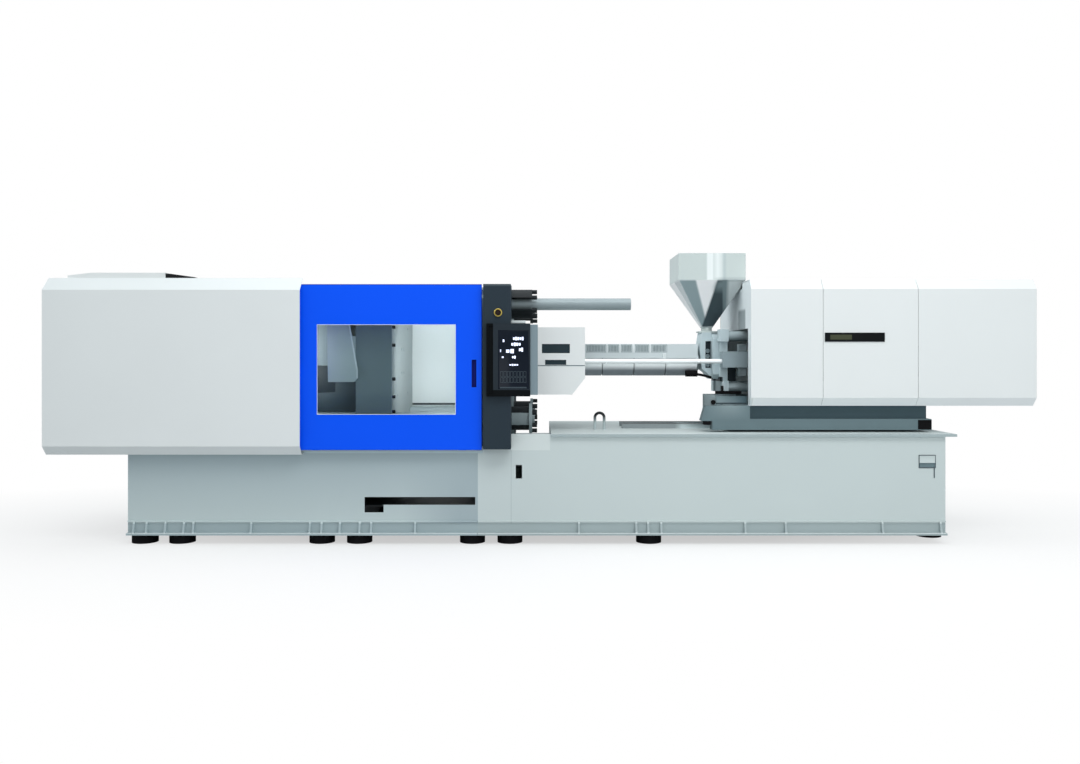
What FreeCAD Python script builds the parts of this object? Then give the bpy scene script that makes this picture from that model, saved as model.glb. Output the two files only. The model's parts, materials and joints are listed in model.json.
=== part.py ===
import FreeCAD, Part
import os
from types import SimpleNamespace

import Sketcher

# Large all-electric toggle-clamp injection moulding machine.
# Frame: +X from the clamp end to the injection end, +Y away from the operator, +Z up.
# Origin on the floor, in the middle of the machine. Millimetres.

DRIVING = {
    # overall
    "half_length": 3844, "cover_half_width": 850, "axis_height": 1410,
    # welded bases
    "base_half_width": 720, "base_wall": 20, "base_low": 69, "clamp_base_left": -3247,
    "base_joint": -538, "clamp_bed": 740, "bed_plate": 40, "pedestal_right": 29,
    "feed_bed": 828, "base_right": 3082, "lip_plate": 20, "lip_over": 25, "lip_right": 3162,
    "guard_plate": 12, "guard_left": -279,
    "drop_left": -1480, "drop_right": -670, "drop_half_width": 380,
    "slot_left": -1415, "slot_right": -544, "slot_low": 300, "slot_high": 360,
    "slot_hook_right": -1268, "slot_hook_low": 241, "chute_plate": 12, "chute_rise": 220, "chute_over": 40,
    "base_grip_left": -245, "base_grip_right": -196, "base_grip_low": 502, "base_grip_high": 608,
    "skirt_plate": 18, "skirt_over": 38, "skirt_high": 177, "skirt_ledge": 12, "rib_thick": 16,
    "rib_back": 4, "frame_pitch": 900, "feed_frame_middle": 929, "feed_frame_right": 1929,
    # levelling feet
    "foot_radius": 98, "foot_pad": 64, "foot_row": 640, "foot_stem_radius": 24,
    "foot_plate": 26, "foot_plate_half": 26, "foot_plate_in": 80, "end_foot_row": 400,
    "end_lug_out": 96, "end_lug_half": 60, "end_lug_thick": 34,
    # rails
    "clamp_rail_inner": 430, "clamp_rail_outer": 520, "clamp_rail_high": 60,
    "clamp_rail_right": -590,
    "feed_rail_inner": 90, "feed_rail_outer": 150, "feed_rail_high": 40,
    "feed_rail_left": 630, "feed_rail_right": 3120, "runner_gap": 0.3,
    # clamp cover
    "cover_right": -1884, "cover_sheet": 4, "cover_low": 695, "cover_fold_low": 764,
    "cover_fold_high": 1955, "cover_high": 2053, "cover_fold_out": 60, "roof_half_width": 750,
    "roof_right": -2050, "roof_beam_width": 56, "roof_beam_deep": 40,
    "hatch_left": -3707, "hatch_right": -2950, "hatch_high": 42, "hatch_half_width": 735,
    "scoop_right": -2724, "scoop_high": 34, "hatch_slope": 60,
    # gates
    "gate_left": -1930, "gate_right": -505, "gate_low": 732, "gate_high": 2002, "gate_front": 792,
    "gate_depth": 40, "gate_sheet": 4, "window_left": -1767, "window_right": -703,
    "window_low": 1002, "window_high": 1693, "pane_thick": 6, "grip_left": -581, "grip_right": -545,
    "grip_low": 1212, "grip_high": 1423, "grip_depth": 26,
    "rail_left": -3780, "rail_right": -500, "rear_grip_out": 880, "stiffener_low": 996,
    "stiffener_high": 1012, "window_rim": 34, "pane_lap": 18, "pane_seat": 24, "grip_wall": 8,
    "bow_stand": 22, "bow_thick": 14, "shoe_from_left": 120, "shoe_from_right": 180, "shoe_long": 60,
    "shoe_in": 22, "shoe_high": 40, "guide_high": 34, "low_rail_thick": 5, "rail_web": 8,
    "top_rail_high": 40, "top_rail_thick": 16, "rail_post": 40, "rail_post_in": 46,
    "rail_post_from_left": 30, "rail_post_from_right": 60,
    # column covers and control panel
    "column_left": -490, "column_right": -280, "column_low": 740, "column_high": 2000,
    "column_front": 840, "column_sheet": 4,
    "panel_left": -463, "panel_right": -131, "panel_low": 1145, "panel_high": 1698,
    "panel_front": 880, "panel_case_right": -74, "panel_case_low": 1156, "panel_case_high": 1690,
    "panel_case_front": 862, "panel_case_back": 700,
    "screen_left": -375, "screen_right": -140, "screen_low": 1201, "screen_high": 1648,
    "screen_recess": 4,
    "stop_x": -376, "stop_z": 1782, "stop_ring": 31, "stop_head": 20, "stop_travel": 8,
    # platens
    "platen_half": 590, "platen_corner": 90, "fixed_left": -560, "fixed_right": -290,
    "moving_face": -1225, "moving_plate": 285, "moving_back": 225, "tail_plate": 350,
    "lug_reach": 120, "shoe_width": 130, "sprue_bore": 60, "sprue_seat_deep": 30,
    "nozzle_mouth": 150, "pocket_deep": 90, "mould_hole": 11, "mould_hole_deep": 60,
    "mould_pitch_y": 560, "mould_pitch_z": 560, "pocket_y": 330, "pocket_half_y": 130,
    "pocket_half_z": 170, "back_root_half": 560, "back_shoulder_half": 545, "back_half_high": 330,
    "back_half_wide": 360, "back_shoulder": 40, "core_low": 205, "core_high": 300, "core_wall": 40,
    "core_root": 20, "tail_core_low": 150, "tail_core_high": 330, "tail_core_wall": 90,
    "shoe_lap": 20, "shoe_step": 60, "shoe_reach": 140, "foot_from_joint": 2, "foot_lap": 5,
    # tie bars
    "bar_pitch": 457, "bar_radius": 47.5, "bar_gap": 0.3, "bar_left": -3460, "bar_end": -100,
    "bar_tail": 670, "nut_radius": 95, "nut_right": -144, "flange_radius": 120, "flange_thick": 24,
    "bolt_radius": 17, "bolt_circle": 98, "bolt_head": 40, "horseshoe_radius": 117,
    "turn_nut_radius": 115, "turn_nut_thick": 100,
    # toggle
    "link_length": 440, "drive_length": 260, "fold_angle": 39.4, "pin_height": 115,
    "pin_radius": 40, "pin_gap": 0.1, "eye_radius": 70, "arm_half": 52, "small_pin_radius": 26,
    "knee_pin_in": 100,
    "small_eye_radius": 45, "tail_arm_in": 112, "tail_arm_out": 170, "platen_arm_in": 172,
    "platen_arm_out": 232, "lug_in_low": 62, "lug_in_high": 110, "lug_out_high": 222,
    "platen_lug_in": 122, "platen_lug_out": 284, "side_gap": 1, "web_half": 28, "tail_web_at": 110,
    "cheek_in": 47, "cheek_out": 97, "crosshead_half": 55, "hub_radius": 60, "screw_radius": 35,
    "screw_length": 1050, "rotor_radius": 100, "rotor_length": 275, "motor_radius": 200,
    "motor_length": 290, "case_thick": 60, "case_inner": 260, "drive_motor_radius": 70,
    "drive_motor_length": 210, "drive_motor_up": 130, "case_in": 10, "motor_ring": 14,
    "motor_ring_from": 30, "motor_ring_pitch": 50, "motor_ring_wide": 24, "motor_box_left": 60,
    "motor_box_right": 220, "motor_box_half": 90, "motor_box_sink": 20, "motor_box_high": 70,
    "nut_cap_step": 30, "nut_cap_length": 40, "nut_neck_step": 25, "nut_body_share": 0.6,
    # ejector
    "cavity_half_y": 100, "cavity_half_z": 150, "cavity_right": -1310, "ejector_left": -1480,
    "ejector_plate": 40, "ejector_half_y": 85, "ejector_half_z": 135, "ejector_rod": 15,
    "ejector_pitch_y": 120, "ejector_pitch_z": 200,
    # purge guard
    "guard_hood_left": -75, "guard_hood_right": 305, "guard_hood_low": 1142,
    "guard_hood_high": 1683, "guard_hood_half": 450, "guard_hood_sheet": 4, "guard_cut_x": 104,
    "guard_cut_z": 133, "slit_left": -42, "slit_right": 183, "slit_low": 1475, "slit_high": 1549,
    "slit_two_left": -16, "slit_two_right": 154, "slit_two_low": 1381, "slit_two_high": 1421,
    "lug_plate": 14, "ear_half_height": 60, "ear_in": 60, "ear_from_right": 60, "ear_from_left": 40,
    # injection unit
    "touch_rod_radius": 19, "touch_rod_y": 318, "touch_rod_right": 1549,
    "touch_drive_left": 1429, "touch_drive_right": 1670, "touch_drive_inner": 235,
    "touch_drive_outer": 372, "touch_drive_low": 1359, "touch_drive_high": 1489,
    "barrel_radius": 85, "barrel_bore": 34.1, "screw_shaft": 34, "screw_start": 260, "barrel_left": -100,
    "nozzle_tip": -286, "nozzle_radius": 30, "nozzle_point": 12, "nozzle_point_long": 20,
    "nozzle_channel": 4, "barrel_cap_step": 15, "barrel_cap_long": 60, "taper_step": 25,
    "taper_end": 130, "jacket_radius": 123, "jacket_left": -60, "jacket_right": 1262,
    "jacket_gap": 8, "barrel_cover_left": 250, "barrel_cover_right": 1262,
    "barrel_cover_half": 150, "barrel_cover_low": 1436, "barrel_cover_high": 1553,
    "barrel_cover_sheet": 3,
    "housing_left": 1284, "housing_mid": 1384, "housing_flange": 1437, "housing_right": 1494,
    "housing_half_width": 110, "housing_plate_half": 180, "recess_left": 1334, "recess_low": 1352,
    "recess_high": 1578, "recess_deep": 50, "leg_left": 1460, "leg_right": 1590,
    "leg_half_width": 100, "low_arm_left": 1455, "hub_out": 66, "hub_long": 180,
    "feed_rod_radius": 38, "feed_rod_y": 235, "feed_rod_z": 212, "boss_radius": 50,
    "feed_rod_end": 2800, "rear_plate_left": 2700, "rear_plate_right": 2780,
    "carriage_left": 1225, "carriage_right": 3051, "carriage_low": 865, "carriage_step": 952,
    "carriage_high": 1057.7, "carriage_half_width": 540, "carriage_body_left": 1435,
    "carriage_shadow_left": 1610, "carriage_shadow_deep": 36, "arm_inner": 430,
    "arm_foot_low": 936, "arm_foot_left": 1311, "arm_box_left": 1250, "arm_box_right": 1335,
    "arm_box_high": 1140, "arm_box_inner": 450, "arm_box_outer": 530,
    "plinth_left": 1383, "plinth_right": 2800, "plinth_half_width": 300, "plinth_high": 1120,
    "hopper_left": 1086, "hopper_right": 1637, "hopper_half_depth": 268, "hopper_high": 2300,
    "hopper_shoulder": 2078, "hopper_low": 1692, "hopper_mouth": 43, "hopper_sheet": 3,
    "throat_radius": 46, "throat_bore": 38, "housing_high": 1651,
    "feed_cover_left": 1601, "feed_cover_seam": 2167, "feed_cover_seam_two": 2914,
    "seam_gap": 3, "feed_cover_half": 618, "feed_cover_low": 1058, "feed_cover_fold_low": 1123,
    "feed_cover_fold_high": 1979, "feed_cover_high": 2057, "feed_cover_fold": 58,
    "hopper_notch": 14, "mouth_high": 262, "head_gap": 3, "head_thick": 6, "head_side": 120,
    "display_left": 2180, "display_right": 2649, "display_low": 1564, "display_high": 1635,
    "display_out": 6,
    "pusher_left": 1930, "pusher_wall": 80, "pusher_back": 2330, "pusher_half_y": 292,
    "pusher_half_z": 280, "pusher_beam": 60, "drive_screw_radius": 30,
    "drive_screw_left": 2045, "servo_radius": 130, "servo_length": 380,
    "small_motor_half": 90, "small_motor_high": 200,
    "eye_left": 385, "eye_right": 484, "eye_y": 250, "eye_high": 995, "eye_rod": 11.5,
}
CLAMP_RIBS = (-3196, -3097, -2952, -2808, -2735, -2288, -1835, -1744, -1603, -1450, -1361, -1021)
FEED_RIBS = (244, 687, 779, 880, 1529, 1842, 2590, 3040)
MOTOR_RINGS = 5
FEET = (-3146, -2854, -1761, -1468, -585, -292, 793)

doc = FreeCAD.newDocument("injection_moulding_machine")


class Size:
    """A number that keeps the spreadsheet formula it was worked out with."""

    def __init__(self, value, text):
        self.value = float(value)
        self.text = text

    def __add__(self, other):
        other = size(other)
        return Size(self.value + other.value, f"({self.text} + {other.text})")

    def __sub__(self, other):
        other = size(other)
        return Size(self.value - other.value, f"({self.text} - {other.text})")

    def __mul__(self, other):
        other = size(other)
        return Size(self.value * other.value, f"({self.text} * {other.text})")

    def __truediv__(self, other):
        other = size(other)
        return Size(self.value / other.value, f"({self.text} / {other.text})")

    def __neg__(self):
        return size(0) - self

    def __radd__(self, other):
        return size(other) + self

    def __rsub__(self, other):
        return size(other) - self

    def __rmul__(self, other):
        return size(other) * self


def size(number):
    if isinstance(number, Size):
        return number
    return Size(number, repr(float(number)))


def cosine(angle):
    value = FreeCAD.Rotation(FreeCAD.Vector(0, 0, 1), angle.value).multVec(FreeCAD.Vector(1, 0, 0)).x
    return Size(value, f"cos({angle.text})")


def sine(angle):
    value = FreeCAD.Rotation(FreeCAD.Vector(0, 0, 1), angle.value).multVec(FreeCAD.Vector(1, 0, 0)).y
    return Size(value, f"sin({angle.text})")


def make_sheet():
    sheet = doc.addObject("Spreadsheet::Sheet", "Sizes")
    values = dict(DRIVING)
    for prefix, places in (("clamp_rib", CLAMP_RIBS), ("feed_rib", FEED_RIBS), ("foot", FEET)):
        for number, place_x in enumerate(places, start=1):
            values[f"{prefix}_at_{number}"] = place_x
    for row, (name, value) in enumerate(values.items(), start=1):
        sheet.set(f"A{row}", name)
        sheet.set(f"B{row}", str(value))
        sheet.setAlias(f"B{row}", name)
    doc.recompute()
    return SimpleNamespace(**{name: Size(value, f"Sizes.{name}") for name, value in values.items()})


S = make_sheet()
nodes = []


def bind(made, prop, number):
    made.setExpression(prop, size(number).text)


def place(made, x, y, z):
    made.Placement.Base = FreeCAD.Vector(size(x).value, size(y).value, size(z).value)
    bind(made, "Placement.Base.x", x)
    bind(made, "Placement.Base.y", y)
    bind(made, "Placement.Base.z", z)


def node(made, label):
    """Keep a finished piece under the name of its file."""
    made.Label = label
    nodes.append(made)
    return made


def both(reach):
    """A span that reaches as far on both sides of the middle."""
    return (-size(reach), size(reach))


def block(name, x, y, z):
    made = doc.addObject("Part::Box", name)
    for prop, span in (("Length", x), ("Width", y), ("Height", z)):
        bind(made, prop, size(span[1]) - span[0])
    place(made, x[0], y[0], z[0])
    return made


AXIS_TURNS = {
    "x": FreeCAD.Rotation(FreeCAD.Vector(0, 1, 0), 90),
    "y": FreeCAD.Rotation(FreeCAD.Vector(1, 0, 0), -90),
    "z": FreeCAD.Rotation(),
}


def rod(name, radius, x, y, z):
    """A round bar along the axis whose place is given as a span."""
    made = doc.addObject("Part::Cylinder", name)
    bind(made, "Radius", radius)
    spans = {"x": x, "y": y, "z": z}
    axis = next(key for key, span in spans.items() if isinstance(span, tuple))
    bind(made, "Height", size(spans[axis][1]) - spans[axis][0])
    made.Placement.Rotation = AXIS_TURNS[axis]
    start = [span[0] if isinstance(span, tuple) else span for span in (x, y, z)]
    place(made, *start)
    return made


def cone(name, radii, x, y, z):
    """A round taper along X."""
    made = doc.addObject("Part::Cone", name)
    bind(made, "Radius1", radii[0])
    bind(made, "Radius2", radii[1])
    bind(made, "Height", size(x[1]) - x[0])
    made.Placement.Rotation = AXIS_TURNS["x"]
    place(made, x[0], y, z)
    return made


def fuse(name, *shapes):
    made = doc.addObject("Part::MultiFuse", name)
    made.Shapes = list(shapes)
    made.Refine = True
    return made


def group(name, *shapes):
    made = doc.addObject("Part::Compound", name)
    made.Links = list(shapes)
    return made


def cut(name, base, *tools):
    made = doc.addObject("Part::Cut", name)
    made.Base = base
    made.Tool = tools[0] if len(tools) == 1 else group(name + "_tools", *tools)
    return made


def mirrored(name, source, normal=(0, 1, 0), z=0):
    made = doc.addObject("Part::Mirroring", name)
    made.Source = source
    made.Normal = FreeCAD.Vector(*normal)
    made.Base = FreeCAD.Vector(0, 0, size(z).value)
    bind(made, "Base.z", z)
    return made


PLANES = {"XZ": "XZ_Plane", "YZ": "YZ_Plane", "XY": "XY_Plane"}


def outline(name, plane, points, span, holes=()):
    """A plate of one outline: points are the two in-plane coordinates, span is its thickness."""
    body = doc.addObject("PartDesign::Body", name)
    sketch = body.newObject("Sketcher::SketchObject", name + "_outline")
    face = next(item for item in body.Origin.OriginFeatures if item.Role == PLANES[plane])
    sketch.AttachmentSupport = [(face, "")]
    sketch.MapMode = "FlatFace"
    points = [(size(a), size(b)) for a, b in points]
    count = len(points)
    for number, (a, b) in enumerate(points):
        following = points[(number + 1) % count]
        start = FreeCAD.Vector(a.value, b.value, 0)
        end = FreeCAD.Vector(following[0].value, following[1].value, 0)
        sketch.addGeometry(Part.LineSegment(start, end), False)
    for number in range(count):
        sketch.addConstraint(Sketcher.Constraint("Coincident", number, 2, (number + 1) % count, 1))
    for number, (a, b) in enumerate(points):
        pin_point(sketch, number, 1, a, b)
    for a, b, radius in holes:
        centre = FreeCAD.Vector(size(a).value, size(b).value, 0)
        circle = Part.Circle(centre, FreeCAD.Vector(0, 0, 1), size(radius).value)
        number = sketch.addGeometry(circle, False)
        pin_point(sketch, number, 3, size(a), size(b))
        index = sketch.addConstraint(Sketcher.Constraint("Radius", number, size(radius).value))
        bind(sketch, f"Constraints[{index}]", radius)
    pad = body.newObject("PartDesign::Pad", name + "_pad")
    pad.Profile = sketch
    bind(pad, "Length", size(span[1]) - span[0])
    # the XZ plane's own normal points along -Y, so its pad starts at the far side
    bind(sketch, "AttachmentOffset.Base.z", -size(span[1]) if plane == "XZ" else span[0])
    return body


def pin_point(sketch, number, place_on, a, b):
    for kind, number_size in (("DistanceX", a), ("DistanceY", b)):
        index = sketch.addConstraint(Sketcher.Constraint(kind, number, place_on, number_size.value))
        bind(sketch, f"Constraints[{index}]", number_size)


def corners(y, z):
    """The four places at plus and minus y, and z above and below the machine's axis."""
    for word_y, side in (("front", -1), ("rear", 1)):
        for word_z, level in (("lower", -1), ("upper", 1)):
            yield f"{word_y}_{word_z}", size(y) * side, S.axis_height + size(z) * level


# derived places along the machine
moving_plate_left = S.moving_face - S.moving_plate
moving_left = moving_plate_left - S.moving_back
platen_pin_x = moving_left - S.lug_reach + 5
tail_pin_x = platen_pin_x - S.link_length * cosine(S.fold_angle) * 2
tail_right = tail_pin_x - S.lug_reach
tail_left = tail_right - S.tail_plate
crosshead_x = tail_pin_x + S.drive_length * cosine(S.fold_angle) * 2
platen_low = S.axis_height - S.platen_half
bar_bore = S.bar_radius + S.bar_gap
clamp_rail_top = S.clamp_bed + S.clamp_rail_high
feed_plate_top = S.feed_bed + S.lip_plate
feed_rail_top = feed_plate_top + S.feed_rail_high


def skirt(name, word, side, left, right, ribs):
    """One long side's foot flange with its gusset ribs."""
    near = S.base_half_width * side
    far = near + S.skirt_over * side
    low = (S.base_low, S.base_low + S.skirt_plate)
    ledge_low = S.skirt_high - S.skirt_plate / 2
    ledge_far = near + S.skirt_ledge * side
    flange = outline(f"{name}_{word}_flange", "YZ",
                     [(near, low[0]), (far, low[0]), (far, low[1]), (near, low[1])], (left, right))
    ledge = outline(f"{name}_{word}_ledge", "YZ",
                    [(near, ledge_low), (ledge_far, ledge_low), (ledge_far, S.skirt_high),
                     (near, S.skirt_high)], (left, right))
    pieces = [flange, ledge]
    for number in range(1, ribs + 1):
        at = getattr(S, f"{name}_rib_at_{number}")
        pieces.append(outline(f"{name}_{word}_rib_{number}", "YZ",
                              [(near, low[1]), (far - S.rib_back * side, low[1]),
                               (ledge_far, ledge_low), (near, ledge_low)],
                              (at - S.rib_thick / 2, at + S.rib_thick / 2)))
    return fuse(f"{name}_{word}_skirt", *pieces)


SIDES = (("front", -1), ("rear", 1))


def across(side, near, far):
    """A span between two distances from the middle, on one side of the machine."""
    return (size(near), size(far)) if side > 0 else (-size(far), -size(near))


def foot_plates(name, numbers):
    """Plates inside the foot of the walls, which the levelling stems carry."""
    plates = []
    for number in numbers:
        at = getattr(S, f"foot_at_{number}")
        for word, side in SIDES:
            span = across(side, S.foot_row - S.foot_plate_in, S.base_half_width - S.base_wall)
            plates.append(block(f"{name}_foot_plate_{number}_{word}",
                                (at - S.foot_plate_half, at + S.foot_plate_half), span,
                                (S.base_low, S.base_low + S.foot_plate)))
    return plates


def clamp_base():
    """Plates welded edge to edge, each one its own solid. The front wall's plates leave a slot."""
    wall = S.base_wall
    half = S.base_half_width
    inner = half - wall
    left, right = S.clamp_base_left, S.base_joint
    bed_low = S.clamp_bed - S.bed_plate
    full = (S.base_low, S.clamp_bed)
    slot_right = right - wall
    front = (("upper", (left, right), (S.slot_high, S.clamp_bed)),
             ("left", (left, S.slot_left), (S.base_low, S.slot_high)),
             ("hook_sill", (S.slot_left, S.slot_hook_right), (S.base_low, S.slot_hook_low)),
             ("slot_sill", (S.slot_hook_right, slot_right), (S.base_low, S.slot_low)),
             ("right", (slot_right, right), (S.base_low, S.slot_high)))
    plates = [block(f"clamp_base_front_{word}", span, across(-1, inner, half), height)
              for word, span, height in front]
    node(group("clamp_base_front_plates", *plates), "clamp_base_front_wall")
    walls = [block("clamp_base_rear_wall", (left, right), across(1, inner, half), full),
             block("clamp_base_left_wall", (left, left + wall), both(inner), full),
             block("clamp_base_right_wall", (right - wall, right), both(inner), full)]
    bed = block("clamp_base_bed_plate", (left + wall, right - wall), both(inner), (bed_low, S.clamp_bed))
    drop = block("clamp_base_drop", (S.drop_left, S.drop_right), both(S.drop_half_width),
                 (bed_low - 1, S.clamp_bed + 1))
    frames = [block(f"clamp_base_frame_{word}", (at - wall, at), both(inner), (S.base_low, bed_low))
              for word, at in (("left", S.drop_left - S.frame_pitch), ("right", S.drop_left - wall))]
    rear_edge = S.drop_half_width + S.chute_over
    chute = outline("drop_chute", "YZ",
                    [(rear_edge, S.slot_low + S.chute_rise - S.chute_plate),
                     (-inner, S.slot_low - S.chute_plate * 1.5),
                     (-inner, S.slot_low - S.chute_plate / 2), (rear_edge, S.slot_low + S.chute_rise)],
                    (S.drop_left - 2, right - wall))
    skirts = [skirt("clamp", word, side, left, right, len(CLAMP_RIBS)) for word, side in SIDES]
    return node(group("clamp_base_weld", *walls, cut("clamp_base_bed", bed, drop), *frames, chute,
                      *foot_plates("clamp", range(1, 6)), *skirts), "clamp_base")


def injection_base():
    wall = S.base_wall
    half = S.base_half_width
    inner = half - wall
    left, middle, right = S.base_joint, S.pedestal_right, S.base_right
    low_bed, high_bed = S.clamp_bed - 1, S.feed_bed
    profile = outline("injection_base_block", "XZ",
                      [(left, S.base_low), (right, S.base_low), (right, high_bed),
                       (middle, high_bed), (middle, low_bed), (left, low_bed)], both(half))
    low_inside, high_inside = S.clamp_bed - S.bed_plate, S.feed_bed - S.bed_plate
    inside = outline("injection_base_inside", "XZ",
                     [(left + wall, S.base_low - 1), (right - wall, S.base_low - 1),
                      (right - wall, high_inside), (middle + wall, high_inside),
                      (middle + wall, low_inside), (left + wall, low_inside)], both(inner))
    grip = block("injection_base_grip", (S.base_grip_left, S.base_grip_right),
                 across(-1, inner - 1, half + 1), (S.base_grip_low, S.base_grip_high))
    shell = cut("injection_base_shell", profile, inside, grip)
    lip = block("injection_base_lip", (middle, S.lip_right), both(half + S.lip_over),
                (S.feed_bed, feed_plate_top))
    guard = block("injection_base_guard", (S.guard_left, middle), across(-1, half - S.guard_plate, half),
                  (S.clamp_bed - 2, feed_plate_top))
    frames = [block(f"injection_base_frame_{word}", (at - wall, at), both(half - wall / 2),
                    (S.base_low, S.clamp_bed - S.bed_plate / 2))
              for word, at in (("left", S.guard_left), ("middle", S.feed_frame_middle),
                               ("right", S.feed_frame_right))]
    lug = block("end_foot_lug", (right - 1, right + S.end_lug_out),
                across(-1, S.end_foot_row - S.end_lug_half, S.end_foot_row + S.end_lug_half),
                (S.base_low, S.base_low + S.end_lug_thick))
    lug_rear = mirrored("end_foot_lug_rear", lug)
    skirts = [skirt("feed", word, side, left, right, len(FEED_RIBS)) for word, side in SIDES]
    return node(fuse("injection_base_weld", shell, lip, guard, *frames, lug, lug_rear,
                     *foot_plates("feed", range(6, 8)), *skirts), "injection_base")


def levelling_feet():
    feet = []
    places = [(getattr(S, f"foot_at_{number}"), S.foot_row) for number in range(1, len(FEET) + 1)]
    places.append((S.base_right, S.end_foot_row))
    for number, (x, row) in enumerate(places, start=1):
        for word, side in SIDES:
            y = row * side
            pad = rod(f"foot_{number}_{word}_pad", S.foot_radius, x, y, (0, S.foot_pad))
            stem = rod(f"foot_{number}_{word}_stem", S.foot_stem_radius, x, y,
                       (S.foot_pad - 1, S.base_low))
            feet.append(fuse(f"foot_{number}_{word}", pad, stem))
    return node(group("feet", *feet), "levelling_feet")


def slide_rails():
    """Flat rails on the beds: one pair for the platens and one for the injection carriage."""
    rails = []
    clamp_span = (S.clamp_base_left + S.rail_post_from_left, S.clamp_rail_right)
    for word, side in SIDES:
        rails.append(block(f"clamp_rail_{word}", clamp_span,
                           across(side, S.clamp_rail_inner, S.clamp_rail_outer),
                           (S.clamp_bed, clamp_rail_top)))
        rails.append(block(f"feed_rail_{word}", (S.feed_rail_left, S.feed_rail_right),
                           across(side, S.feed_rail_inner, S.feed_rail_outer),
                           (feed_plate_top, feed_rail_top)))
    return node(group("rails", *rails), "slide_rails")


def lifting_eye():
    """A bent round bar on the injection bed."""
    reach = S.eye_right - S.eye_left
    leg_high = S.eye_high - reach / 2
    legs = [rod(f"eye_{end}", S.eye_rod, x, -S.eye_y, (feed_plate_top, leg_high))
            for end, x in (("left", S.eye_left + S.eye_rod), ("right", S.eye_right - S.eye_rod))]
    bow = doc.addObject("Part::Torus", "eye_bow")
    bind(bow, "Radius1", reach / 2 - S.eye_rod)
    bind(bow, "Radius2", S.eye_rod)
    bow.Angle3 = 180
    bow.Placement.Rotation = FreeCAD.Rotation(FreeCAD.Vector(1, 0, 0), 90)
    place(bow, (S.eye_left + S.eye_right) / 2, -S.eye_y, leg_high)
    return node(fuse("eye_weld", *legs, bow), "lifting_eye")


def clamp_cover():
    sheet = S.cover_sheet
    out, roof = S.cover_half_width, S.roof_half_width
    fold_in = S.cover_half_width - S.cover_fold_out
    lip = S.base_half_width
    # from the roof edge down the outside, round the bottom lip and back up the inside
    side = outline("clamp_cover_front_sheet", "YZ",
                   [(-roof, S.cover_high), (-out, S.cover_fold_high), (-out, S.cover_fold_low),
                    (-fold_in, S.cover_low), (-lip, S.cover_low), (-lip, S.cover_low + sheet),
                    (-fold_in - 2, S.cover_low + sheet), (sheet - out, S.cover_fold_low + 2),
                    (sheet - out, S.cover_fold_high - 2), (-roof, S.cover_high - sheet * 1.4)],
                   (-S.half_length + sheet, S.cover_right))
    hatch_span = (S.hatch_left + 40, S.hatch_right - 40)
    roof_low = S.cover_high - sheet
    roof_sheet = block("roof_sheet", (-S.half_length + sheet, S.roof_right), both(roof),
                       (roof_low, S.cover_high))
    roof_hole = block("roof_hole", hatch_span, both(S.hatch_half_width - 60),
                      (roof_low - 1, S.cover_high + 1))
    beam = block("roof_beam", (S.roof_right - S.roof_beam_width, S.roof_right), both(roof),
                 (roof_low - S.roof_beam_deep, roof_low))
    node(fuse("roof_weld", cut("roof_cut", roof_sheet, roof_hole), beam), "clamp_cover_roof")
    end = outline("clamp_cover_end_sheet", "YZ",
                  [(-roof, S.cover_high), (-out, S.cover_fold_high), (-out, S.cover_fold_low),
                   (-fold_in, S.cover_low), (fold_in, S.cover_low), (out, S.cover_fold_low),
                   (out, S.cover_fold_high), (roof, S.cover_high)],
                  (-S.half_length, -S.half_length + sheet))
    node(group("clamp_cover_set", side, mirrored("clamp_cover_rear_sheet", side), end), "clamp_cover_sides")


def roof_hatch():
    """A shallow lid over the lubrication hatch, with a sloped scoop at its right end."""
    low = S.cover_high
    high = low + S.hatch_high
    lid = outline("hatch_lid", "XZ",
                  [(S.hatch_left, low), (S.hatch_right, low), (S.hatch_right, high),
                   (S.hatch_left + S.hatch_slope * 3, high), (S.hatch_left, low + S.hatch_high / 2)],
                  both(S.hatch_half_width))
    hollow = block("hatch_hollow", (S.hatch_left + 30, S.hatch_right - 30),
                   both(S.hatch_half_width - 30), (low - 1, low + S.hatch_high / 3))
    scoop = outline("hatch_scoop", "XZ",
                    [(S.hatch_right + 0.3, low), (S.scoop_right, low), (S.scoop_right, low + 8),
                     (S.hatch_right + 40, low + S.scoop_high), (S.hatch_right + 0.3, low + S.scoop_high)],
                    both(S.hatch_half_width))
    return node(group("hatch", cut("hatch_cut", lid, hollow), scoop), "roof_hatch")


def gate_frame(name, side):
    """A folded sheet gate with guide blocks above and feet below. The front one has a window hole."""
    front, sheet = S.gate_front, S.gate_sheet
    back = front - S.gate_depth
    left, right, low, high = S.gate_left, S.gate_right, S.gate_low, S.gate_high
    body = block(name + "_body", (left, right), across(side, back, front), (low, high))
    inside = block(name + "_inside", (left + sheet, right - sheet),
                   across(side, back - 1, front - sheet), (low + sheet, high - sheet))
    parts = [cut(name + "_shell", body, inside)]
    if side < 0:
        tools = window_hole(name, side, parts)
    else:
        tools = []
        stiffener = block(name + "_stiffener", (left + sheet / 2, right - sheet / 2),
                          across(side, back, front - sheet / 2), (S.stiffener_low, S.stiffener_high))
        parts += [stiffener, *bow_handle(name, side)]
    for word, x in (("left", left + S.shoe_from_left), ("right", right - S.shoe_from_right)):
        span = (x, x + S.shoe_long)
        parts.append(block(f"{name}_shoe_{word}", span,
                           across(side, S.base_half_width + S.shoe_in, front - S.pane_seat),
                           (gate_rail_top + S.runner_gap, low + S.shoe_high)))
        parts.append(block(f"{name}_guide_{word}", span,
                           across(side, top_rail_out + S.runner_gap, front - S.pane_seat),
                           (top_rail_low, top_rail_low + S.guide_high)))
    made = fuse(name + "_parts", *parts)
    return cut(name + "_frame", made, *tools) if tools else made


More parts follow.
